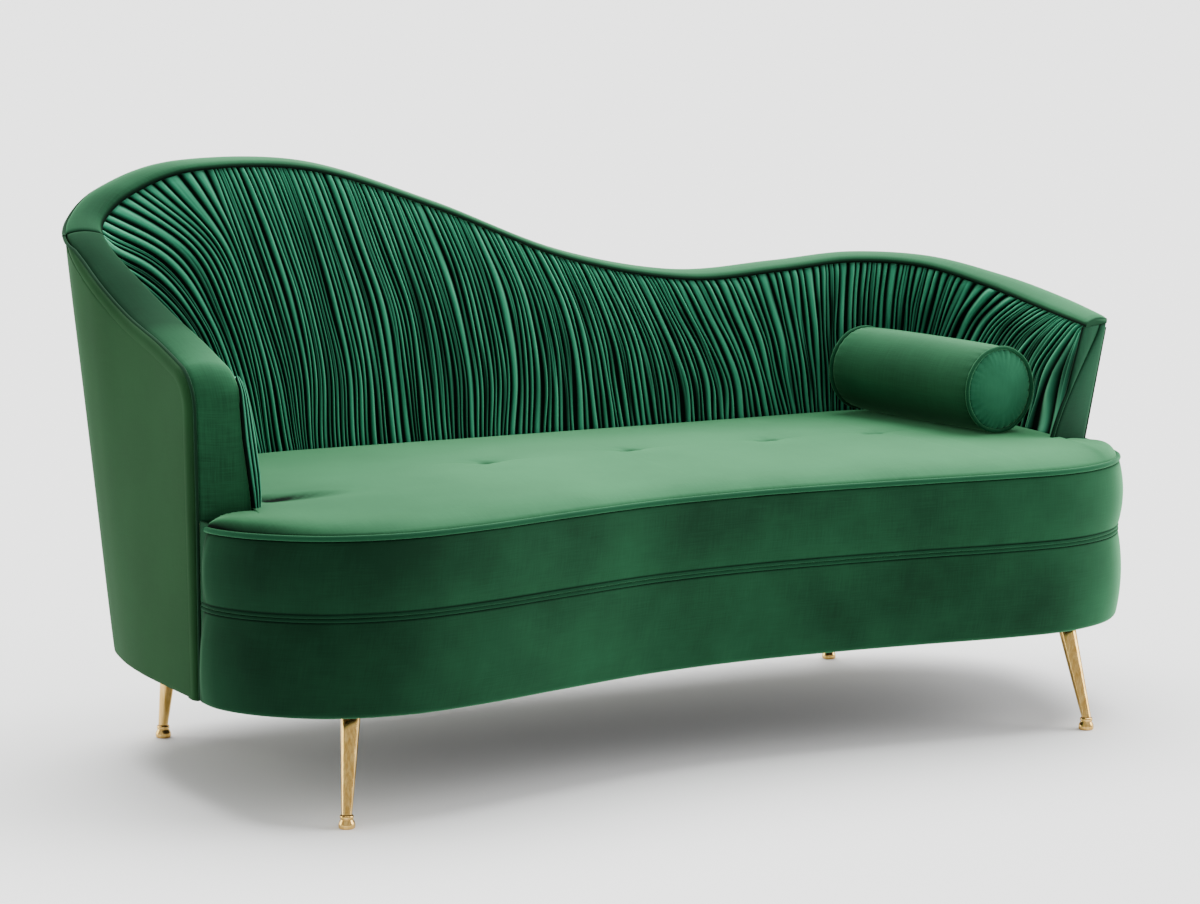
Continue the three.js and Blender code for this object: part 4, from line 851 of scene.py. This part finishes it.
# Painted shade: the roll darkens towards its ends and on its underside, above the seat.
shade = share(from_end / 0.003 + 0.25) * (1 - 0.62 * share(0.35 - np.cos(angles)))
cloth = np.stack([a * np.ones_like(r), angles * BOLSTER_RADIUS * np.ones_like(r), r * 0], -1)
roll = tube("bolster_roll", loops, body="bolster", painted_light=shade, cloth=cloth.reshape(-1, 3), sharp=70)
print("bolster roll:", len(roll.data.polygons), "faces")

# %% [markdown]
# A cap is a dome whose gathers run in from the rim and fade. A welt, which is a ring of cord, hides the seam.

# %% Bolster caps and their welts
caps = {}
rim = BOLSTER_RADIUS - 2 * WELT + 0.0012
shares = np.concatenate([np.linspace(0.02, 0.6, 9), np.linspace(0.64, 1, 19)])[:, None]
for end, sign in (("front", 1), ("back", -1)):
    turned = angles + 0.05 * np.sin(angles * 5 + sign)
    fold = np.abs(np.sin(turned * GATHERS / 2)) ** 0.7
    strength = 0.6 + 0.4 * np.sin(angles * 4 + 1) * np.sin(angles * 7)
    eased = CAP_GATHER * fold * strength * np.exp(-(1 - shares) / 0.12) * np.clip((1 - shares) / 0.05, 0.25, 1)
    dome = CAP_DOME * (1 - shares**2.6)
    out = CAP_FOOT + 0.0012 + dome + eased - 0.0010 * np.exp(-(1 - shares) / 0.05)
    r = rim * shares * np.ones_like(out)
    loops = np.concatenate([on_bolster(sign * out, r), on_bolster(sign * (CAP_FOOT + 0.0003), rim)[None]], 0)
    # Painted light and shade: the gathers' crests are painted lit and their hollows dark, and the dome's middle is
    # fully lit. A thin ring at the rim is painted dark, and the loop under the welt is black.
    gather_painted_light = share(0.12 + 0.9 * fold**1.5 * np.ones_like(shares) + (1 - shares) * (2.6 + 1.8 * strength))
    shade = np.concatenate([gather_painted_light * share((1 - shares) / 0.03 + 0.2), fold[None] * 0])
    caps[end] = tube(f"bolster_cap_{end}_pad", loops, body="bolster", painted_light=shade, sharp=75)
    ring_at = sign * (CAP_FOOT + WELT)
    path = on_bolster(ring_at, BOLSTER_RADIUS - WELT + 0.0002 * np.sin(angles * 9))
    facings = path - on_bolster(ring_at, 0)
    tight = np.concatenate([path[-1:], path, path[:1]])
    wide = np.concatenate([facings[-1:], facings, facings[:1]])
    loops = cord_loops(tight, wide, WELT)[1:-1]
    caps[end + "_welt"] = tube(f"bolster_welt_{end}_cord", loops, body="bolster", closed=True)
print("caps:", sorted(caps))

# %% [markdown]
# ## Legs
# The legs are thin splayed cones of plated metal, each in a small stepped foot. A turned profile of many sides keeps
# the mirror-like reflections straight, and the leg is sheared to the place where its top meets the base.

# %% Legs and feet


def lathe(name, profile, lean=(0, 0), foot=(0, 0), sides=56):
    turns = np.linspace(0, 2 * np.pi, sides, endpoint=False)
    profile = np.array(profile)
    climb = ((profile[:, 1] - profile[0, 1]) / max(profile[-1, 1] - profile[0, 1], 1e-9))[:, None]
    x = profile[:, :1] * np.cos(turns) + foot[0] + lean[0] * climb
    y = profile[:, :1] * np.sin(turns) + foot[1] + lean[1] * climb
    z = profile[:, 1:] + 0 * x
    return tube(name, np.stack([x, y, z], -1), sharp=40)


LEG_BOTTOM, LEG_TOP, LEG_SLIM, LEG_WIDE = 0.0203, LEG_HEIGHT - 0.0003, 0.0078, 0.0149
FOOT_STEPS = [
    (0.0106, 0.0), (0.0116, 0.0007), (0.0123, 0.0020), (0.0125, 0.0042), (0.0123, 0.0068), (0.0116, 0.0090),
    (0.0106, 0.0110), (0.0098, 0.0124), (0.0094, 0.0132), (0.0093, 0.0140), (0.0097, 0.0146), (0.0102, 0.0156),
    (0.0103, 0.0170), (0.0101, 0.0184), (0.0096, 0.0194), (0.0086, 0.0199), (0.0079, 0.0200),
]
climb = np.linspace(0, 1, 22)
leg_sides = zip(mixed(LEG_SLIM, LEG_WIDE, climb**0.92), mixed(LEG_BOTTOM + 0.0006, LEG_TOP - 0.0004, climb))
leg_profile = [(0.0045, LEG_BOTTOM), *leg_sides, (0.012, LEG_TOP)]
legs = {}
for corner, (foot, lean) in FEET.items():
    foot, lean = np.array(foot) * HALF, np.array(lean) * HALF
    legs[corner] = lathe(f"leg_{corner}_turned", leg_profile, lean, foot)
    legs[corner + "_foot"] = lathe(f"foot_{corner}_turned", FOOT_STEPS, foot=foot)
print("legs and feet:", len(legs))

# %% [markdown]
# ## Inside and under
# The foam block, the tuft buttons and the cloth under the base are soft or sewn too, so each gets a made piece.
# The buttons are flat discs on a twine that runs to a washer below the deck.

# %% Foam, buttons and lining
WASHER = [(0.0110, 0), (0.012, 0.0004), (0.012, 0.0021), (0.0112, 0.0025), (0.0016, 0.0027), (0.0013, 0.004)]
BUTTON = [
    (0.0013, 0.0026), (0.0030, 0.0021), (0.0054, 0.0019), (0.0059, 0.0012), (0.0055, 0.0005), (0.0035, 0.0001),
    (0.0010, 0),
]


def traced(name, node):
    """A piece with the points and faces of a CAD node."""
    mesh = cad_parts[node].data
    points = [np.array(v.co) - SHIFT for v in mesh.vertices]
    made = piece(name, points, [tuple(p.vertices) for p in mesh.polygons], sharp=40)
    made.modifiers.new("weld", "WELD").merge_threshold = 0.0002
    return made


foam, lining = traced("foam_block", "seat_foam"), traced("lining_cloth", "dust_cover")
rounding = foam.modifiers.new("soft edge", "BEVEL")
rounding.width, rounding.segments, rounding.limit_method = 0.002, 2, "ANGLE"

buttons = []
for k in range(1, len(TUFTS) + 1):
    low, high = (np.array(corner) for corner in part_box(f"tuft_tie_{k}"))
    profile = [(r, low[2] + h) for r, h in WASHER] + [(r, high[2] - h) for r, h in BUTTON]
    buttons.append(lathe(f"tuft_button_{k}", profile, foot=(low + high)[:2] / 2 - SHIFT[:2], sides=28))
print("foam points:", len(foam.data.vertices), "buttons:", len(buttons))

# %% [markdown]
# ## Materials
# Shader sums are easier to read as Python than as a web of nodes. The small class below wraps a socket: adding or
# multiplying two of them adds a Math node, and one method makes every other kind of node.

# %% A socket that can be used in sums


class Field:
    def __init__(self, tree, socket=None):
        self.tree, self.socket = tree, socket

    def make(self, kind, settings, inputs, output=0):
        node = self.tree.nodes.new(kind)
        for name, value in settings.items():
            setattr(node, name, value)
        for name, value in inputs.items():
            if isinstance(value, Field):
                self.tree.links.new(value.socket, node.inputs[name])
            else:
                node.inputs[name].default_value = value
        return Field(self.tree, node.outputs[output])

    def math(self, operation, other):
        return self.make("ShaderNodeMath", {"operation": operation}, {0: self, 1: other})

    def __add__(self, other):
        return self.math("ADD", other)

    def __mul__(self, other):
        return self.math("MULTIPLY", other)

    def between(self, low, high, to_low=0.0, to_high=1.0):
        inputs = {"From Min": low, "From Max": high, "To Min": to_low, "To Max": to_high, "Value": self}
        return self.make("ShaderNodeMapRange", {}, inputs)

    def mix(self, first, second):
        return self.make("ShaderNodeMix", {"data_type": "RGBA"}, {0: self, 6: first, 7: second}, 2)

    def scaled(self, factors):
        return self.make("ShaderNodeVectorMath", {"operation": "MULTIPLY"}, {0: self, 1: factors})

    def noise(self, scale, detail=2.0, roughness=0.5):
        inputs = {"Vector": self, "Scale": scale, "Detail": detail, "Roughness": roughness}
        return self.make("ShaderNodeTexNoise", {}, inputs)


def new_material(name, **constants):
    made = bpy.data.materials.new(name)
    made.use_nodes = True
    shader = made.node_tree.nodes["Principled BSDF"]
    for socket, value in constants.items():
        shader.inputs[socket.replace("_", " ")].default_value = value
    return made, shader, Field(made.node_tree)


def drive(field, shader, socket):
    field.tree.links.new(field.socket, shader.inputs[socket])


def bump(height, shader, strength, distance):
    made = height.make("ShaderNodeBump", {}, {"Strength": strength, "Distance": distance, "Height": height})
    drive(made, shader, "Normal")


def own_place(start):
    """The piece's own coordinates."""
    return start.make("ShaderNodeTexCoord", {}, {}, 3)


# %% [markdown]
# ## Velvet
# Velvet is dark when seen straight on and bright at a glancing angle, because its pile stands up and catches light on
# its sides. The shader's sheen does that, and the base colour is also painted lighter at a glancing angle, as painted
# sheen. The colour is deep green at random tones, painted fully lit on open faces and painted near-black as shade in
# seams, grooves and hollows. Fine streaks both ways are the pile's marks from weaving and handling. A painted-shade
# ramp along the cloth's run darkens the start of some pieces, where less light falls.

# %% Velvet
DEEP, LIGHT = (0.0010, 0.022, 0.0075), (0.022, 0.150, 0.062)
CORD_DEEP, CORD_LIGHT = (0.004, 0.050, 0.020), (0.018, 0.130, 0.055)
SHEEN_TINT = (0.30, 0.85, 0.42, 1)


def velvet(name, deep=DEEP, light=LIGHT, sheen=0.6, marks=1.0, shade_ramp=(0, 1, 1)):
    looks = {"Sheen_Weight": sheen, "Sheen_Roughness": 0.32, "Sheen_Tint": SHEEN_TINT, "Specular_IOR_Level": 0.12}
    made, shader, start = new_material("green_velvet_" + name, **looks)
    cloth = start.make("ShaderNodeAttribute", {"attribute_name": "cloth"}, {}, 1)
    painted_lit = start.make("ShaderNodeAttribute", {"attribute_name": "painted_light"}, {}, 2)
    place = own_place(start)
    cloud = place.noise(6.0, 3.0, 0.55)
    upright = cloth.scaled((480.0, 24.0, 24.0)).noise(1.0, 2.0, 0.6)
    level = cloth.scaled((20.0, 520.0, 20.0)).noise(1.0, 2.0, 0.6)
    pile = place.noise(1300.0, 2.0, 0.6)
    # Painted sheen: the base colour is lighter where the surface is seen at a glancing angle.
    grazing_painted_sheen = start.make("ShaderNodeLayerWeight", {}, {"Blend": 0.5}, 1)
    tone_and_painted_sheen = cloud * 0.42 + 0.07 + (upright + level) * (0.22 * marks) + pile * 0.12 + grazing_painted_sheen * 0.55
    drive(tone_and_painted_sheen.between(0.46, 1.24).mix((*deep, 1), (*light, 1)), shader, "Base Color")
    drive(pile.between(0.2, 0.8, 0.74, 0.95), shader, "Roughness")
    bump(pile * 0.5 + (upright + level) * (0.5 * marks), shader, 0.12, 0.0006)
    # Painted shade: a near-black shader is mixed in by the painted-light share and by a painted-shade ramp along the
    # cloth's run, darker at its start.
    dark = {"Base Color": (0.0006, 0.004, 0.002, 1), "Roughness": 0.95, "Specular IOR Level": 0.05}
    shadow = start.make("ShaderNodeBsdfPrincipled", {}, dark)
    run = cloth.make("ShaderNodeSeparateXYZ", {}, {0: cloth})
    painted_lit_factor = painted_lit.between(0.08, 0.72) * run.between(shade_ramp[0], shade_ramp[1], shade_ramp[2], 1.0)
    whole = start.make("ShaderNodeMixShader", {}, {0: painted_lit_factor, 1: shadow})
    links = made.node_tree.links
    links.new(shader.outputs[0], whole.socket.node.inputs[2])
    links.new(whole.socket, made.node_tree.nodes["Material Output"].inputs["Surface"])
    return made


# These are lit and shaded copies of one green velvet. The seat, caps and folds have painted light in lighter colours,
# and the side, panel, roll, piping and twin welts have painted shade in darker ones. Each shade_ramp paints shade
# towards the start of a piece's run.
VELVETS = {
    "bands": {"marks": 0.6, "shade_ramp": (0.08, 0.62, 0.40)},
    "arm": {"shade_ramp": (0.30, 0.45, 0.30)},
    "border": {"shade_ramp": (0.0, 0.32, 0.52)},
    "caps": {"deep": (0.006, 0.070, 0.032), "light": (0.075, 0.400, 0.210), "marks": 0.4},
    "seat": {"deep": (0.003, 0.042, 0.015), "light": (0.044, 0.212, 0.088), "sheen": 0.7, "shade_ramp": (-0.78, -0.2, 0.60)},
    "side": {"deep": (0.002, 0.020, 0.004), "light": (0.0075, 0.052, 0.0125), "sheen": 0.08},
    "panel": {"deep": (0.001, 0.018, 0.007), "light": (0.010, 0.080, 0.036), "sheen": 0.25},
    "roll": {"deep": (0.0005, 0.015, 0.005), "light": (0.020, 0.135, 0.056), "sheen": 0.85},
    "folded": {"deep": (0.030, 0.240, 0.130), "light": (0.170, 0.720, 0.430), "sheen": 1.0, "marks": 0.0},
    "welt": {"deep": CORD_DEEP, "light": CORD_LIGHT, "marks": 0.3, "shade_ramp": (-0.80, -0.2, 0.7)},
    "twin": {
        "deep": (0.002, 0.032, 0.012), "light": (0.012, 0.095, 0.040), "sheen": 0.4, "marks": 0.3,
        "shade_ramp": (-0.80, -0.2, 0.4),
    },
    "seams": {"deep": (0.001, 0.014, 0.005), "light": (0.006, 0.050, 0.020), "sheen": 0.15, "marks": 0.3},
    "cord": {"deep": CORD_DEEP, "light": CORD_LIGHT, "marks": 0.3},
}
velvets = {name: velvet(name, **choices) for name, choices in VELVETS.items()}
print("velvets:", sorted(velvets))

# %% [markdown]
# ## Metal, wood, foam and lining
# The plating is smooth gold with faint long streaks from polishing. Wood shows growth rings along the board, the foam
# its open cells, and the lining the dots of pressed fibre cloth.

# %% Other finishes


def finish(name, pattern, span, dark, pale, dull, relief=None, **constants):
    """A material whose colour and roughness both follow one pattern."""
    made, shader, start = new_material(name, **constants)
    field = pattern(own_place(start))
    drive(field.between(*span).mix((*dark, 1), (*pale, 1)), shader, "Base Color")
    drive(field.between(*dull), shader, "Roughness")
    if relief:
        bump(field, shader, *relief)
    return made


gold = finish(
    "polished_gold", lambda place: place.scaled((260.0, 260.0, 6.0)).noise(1.0, 3.0, 0.6), (0.3, 0.75),
    (0.58, 0.33, 0.07), (0.93, 0.64, 0.23), (0.2, 0.8, 0.10, 0.22), Metallic=1.0,
)
steel = finish(
    "zinc_steel", lambda place: place.noise(180.0, 4.0, 0.6), (0.3, 0.7),
    (0.42, 0.43, 0.44), (0.62, 0.62, 0.60), (0.2, 0.8, 0.30, 0.5), Metallic=1.0,
)
wood = finish(
    "frame_wood", lambda place: place.scaled((3.0, 40.0, 60.0)).noise(1.0, 4.0, 0.6), (0.3, 0.7),
    (0.36, 0.22, 0.11), (0.60, 0.42, 0.24), (0.2, 0.8, 0.55, 0.8), (0.25, 0.001), Specular_IOR_Level=0.3,
)
sponge = finish(
    "seat_foam_cells", lambda place: place.noise(420.0, 3.0, 0.7), (0.35, 0.65),
    (0.55, 0.48, 0.30), (0.78, 0.72, 0.50), (0.2, 0.8, 0.85, 1.0), (0.5, 0.001), Specular_IOR_Level=0.1,
)
lining_black = finish(
    "black_lining", lambda place: place.make("ShaderNodeTexVoronoi", {}, {"Vector": place, "Scale": 420.0}), (0.1, 0.6),
    (0.010, 0.010, 0.011), (0.030, 0.030, 0.032), (0.0, 0.6, 0.75, 0.95), (0.3, 0.0008), Specular_IOR_Level=0.15,
)
print("finishes:", [m.name for m in (gold, steel, wood, sponge, lining_black)])

# %% [markdown]
# ## Joining the pieces to the frame
# Each piece takes its material, hides the CAD node it stands for, and rides on a body: the couch or the loose
# bolster. The wooden frame, plates and studs keep their CAD shape and only get a finish.

# %% Materials and bodies
FOLDED, SOFT, CUSHION, FIRM = 0.6, 0.8, 0.7, 0.9
GREEN, CORD = "green_velvet", "piping_velvet"
dressing = [
    (gathered, velvets["folded"], "inner_back_gathered", GREEN, FOLDED),
    (outer_cover, velvets["side"], "outer_back_shell", GREEN, FIRM),
    (top_border, velvets["border"], "back_top_border", GREEN, SOFT),
    (arm_border, velvets["arm"], "left_arm_border", GREEN, SOFT),
    (corner_strip, velvets["arm"], "left_arm_border", GREEN, SOFT),
    (cover_roll, velvets["side"], "outer_back_shell", GREEN, SOFT),
    (end_folds, velvets["folded"], "inner_back_gathered", GREEN, FOLDED),
    (right_fold, velvets["panel"], "inner_back_gathered", GREEN, FOLDED),
    (arm_front, velvets["panel"], "right_arm_front", GREEN, SOFT),
    (left_piping, velvets["seams"], "left_arm_piping", CORD, None),
    (long_piping, velvets["seams"], "back_top_piping", CORD, None),
    (right_piping, velvets["seams"], "right_arm_piping", CORD, None),
    (lower_band, velvets["bands"], "lower_band", GREEN, SOFT),
    (upper_band, velvets["bands"], "upper_band", GREEN, SOFT),
    (seat_welt, velvets["welt"], "seat_welt", CORD, None),
    (upper_twin, velvets["twin"], "double_welt_upper", CORD, None),
    (lower_twin, velvets["twin"], "double_welt_lower", CORD, None),
    (seat_pad, velvets["seat"], "seat_top_pad", GREEN, CUSHION),
    (foam, sponge, "seat_foam", "foam", FIRM),
    (lining, lining_black, "dust_cover", "lining", None),
    (roll, velvets["roll"], "bolster_body", GREEN, FIRM),
]
for end in ("front", "back"):
    dressing.append((caps[end], velvets["caps"], f"bolster_cap_{end}", GREEN, FIRM))
    dressing.append((caps[end + "_welt"], velvets["cord"], f"bolster_welt_{end}", CORD, None))
for k, button in enumerate(buttons, 1):
    dressing.append((button, velvets["cord"], f"tuft_tie_{k}", "tie_thread", None))
for corner in FEET:
    dressing.append((legs[corner], gold, f"leg_{corner}", "leg_gold", None))
    dressing.append((legs[corner + "_foot"], gold, f"foot_{corner}", "leg_gold", None))
for made, material, node, slot, fill in dressing:
    made.data.materials.append(material)
    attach(made, "bolster" if node.startswith("bolster") else "couch")
    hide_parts(node)

for name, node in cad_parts.items():
    if node.hide_render:
        continue
    node.data.materials.clear()
    node.data.materials.append(steel if name.startswith(("leg_plate", "leg_stud")) else wood)
print("dressed pieces:", len(dressing))

# %% [markdown]
# ## Studio
# The photograph has a white sweep and very soft light. Most of it comes from above and from the right, so the seat,
# the borders and the right ends shine while the left corner of the base stays deep. A sun with a wide disc gives such
# light without falling off across the floor.

# %% Floor, lights and world
# Painted shade in the velvets also darkens the base's left corner, the seat's left end and the borders' starts, on top
# of what the lights give.
FLOOR_HALF, SKY = 90, 0.7
corners = [(x * FLOOR_HALF, y * FLOOR_HALF, 0) for x, y in ((-1, -1), (1, -1), (1, 1), (-1, 1))]
floor_mesh = bpy.data.meshes.new("floor")
floor_mesh.from_pydata(corners, [], [(0, 1, 2, 3)])
floor = placed("floor", floor_mesh)
floor_finish, shader, start = new_material("pale_floor", Base_Color=(0.95, 0.95, 0.95, 1), Roughness=0.9)
floor.data.materials.append(floor_finish)

world = bpy.data.worlds.new("studio")
world.use_nodes = True
for socket, value in (("Color", (1, 1, 1, 1)), ("Strength", SKY)):
    world.node_tree.nodes["Background"].inputs[socket].default_value = value
bpy.context.scene.world = world


def sky_light(name, towards, energy, spread, colour=(1, 1, 1)):
    """A wide, soft sun that shines from a direction."""
    light = bpy.data.lights.new(name, "SUN")
    light.energy, light.angle, light.color = energy, math.radians(spread), colour
    placed(name, light).rotation_euler = Vector(towards).to_track_quat("Z", "Y").to_euler()


sky_light("overhead", (0.25, 0.35, 1.0), 6.7, 60)
sky_light("right_side", (1.0, -0.35, 0.50), 2.2, 40)
sky_light("left_side", (-1.0, 0.90, 0.35), 1.6, 40, (0.95, 1.0, 0.85))
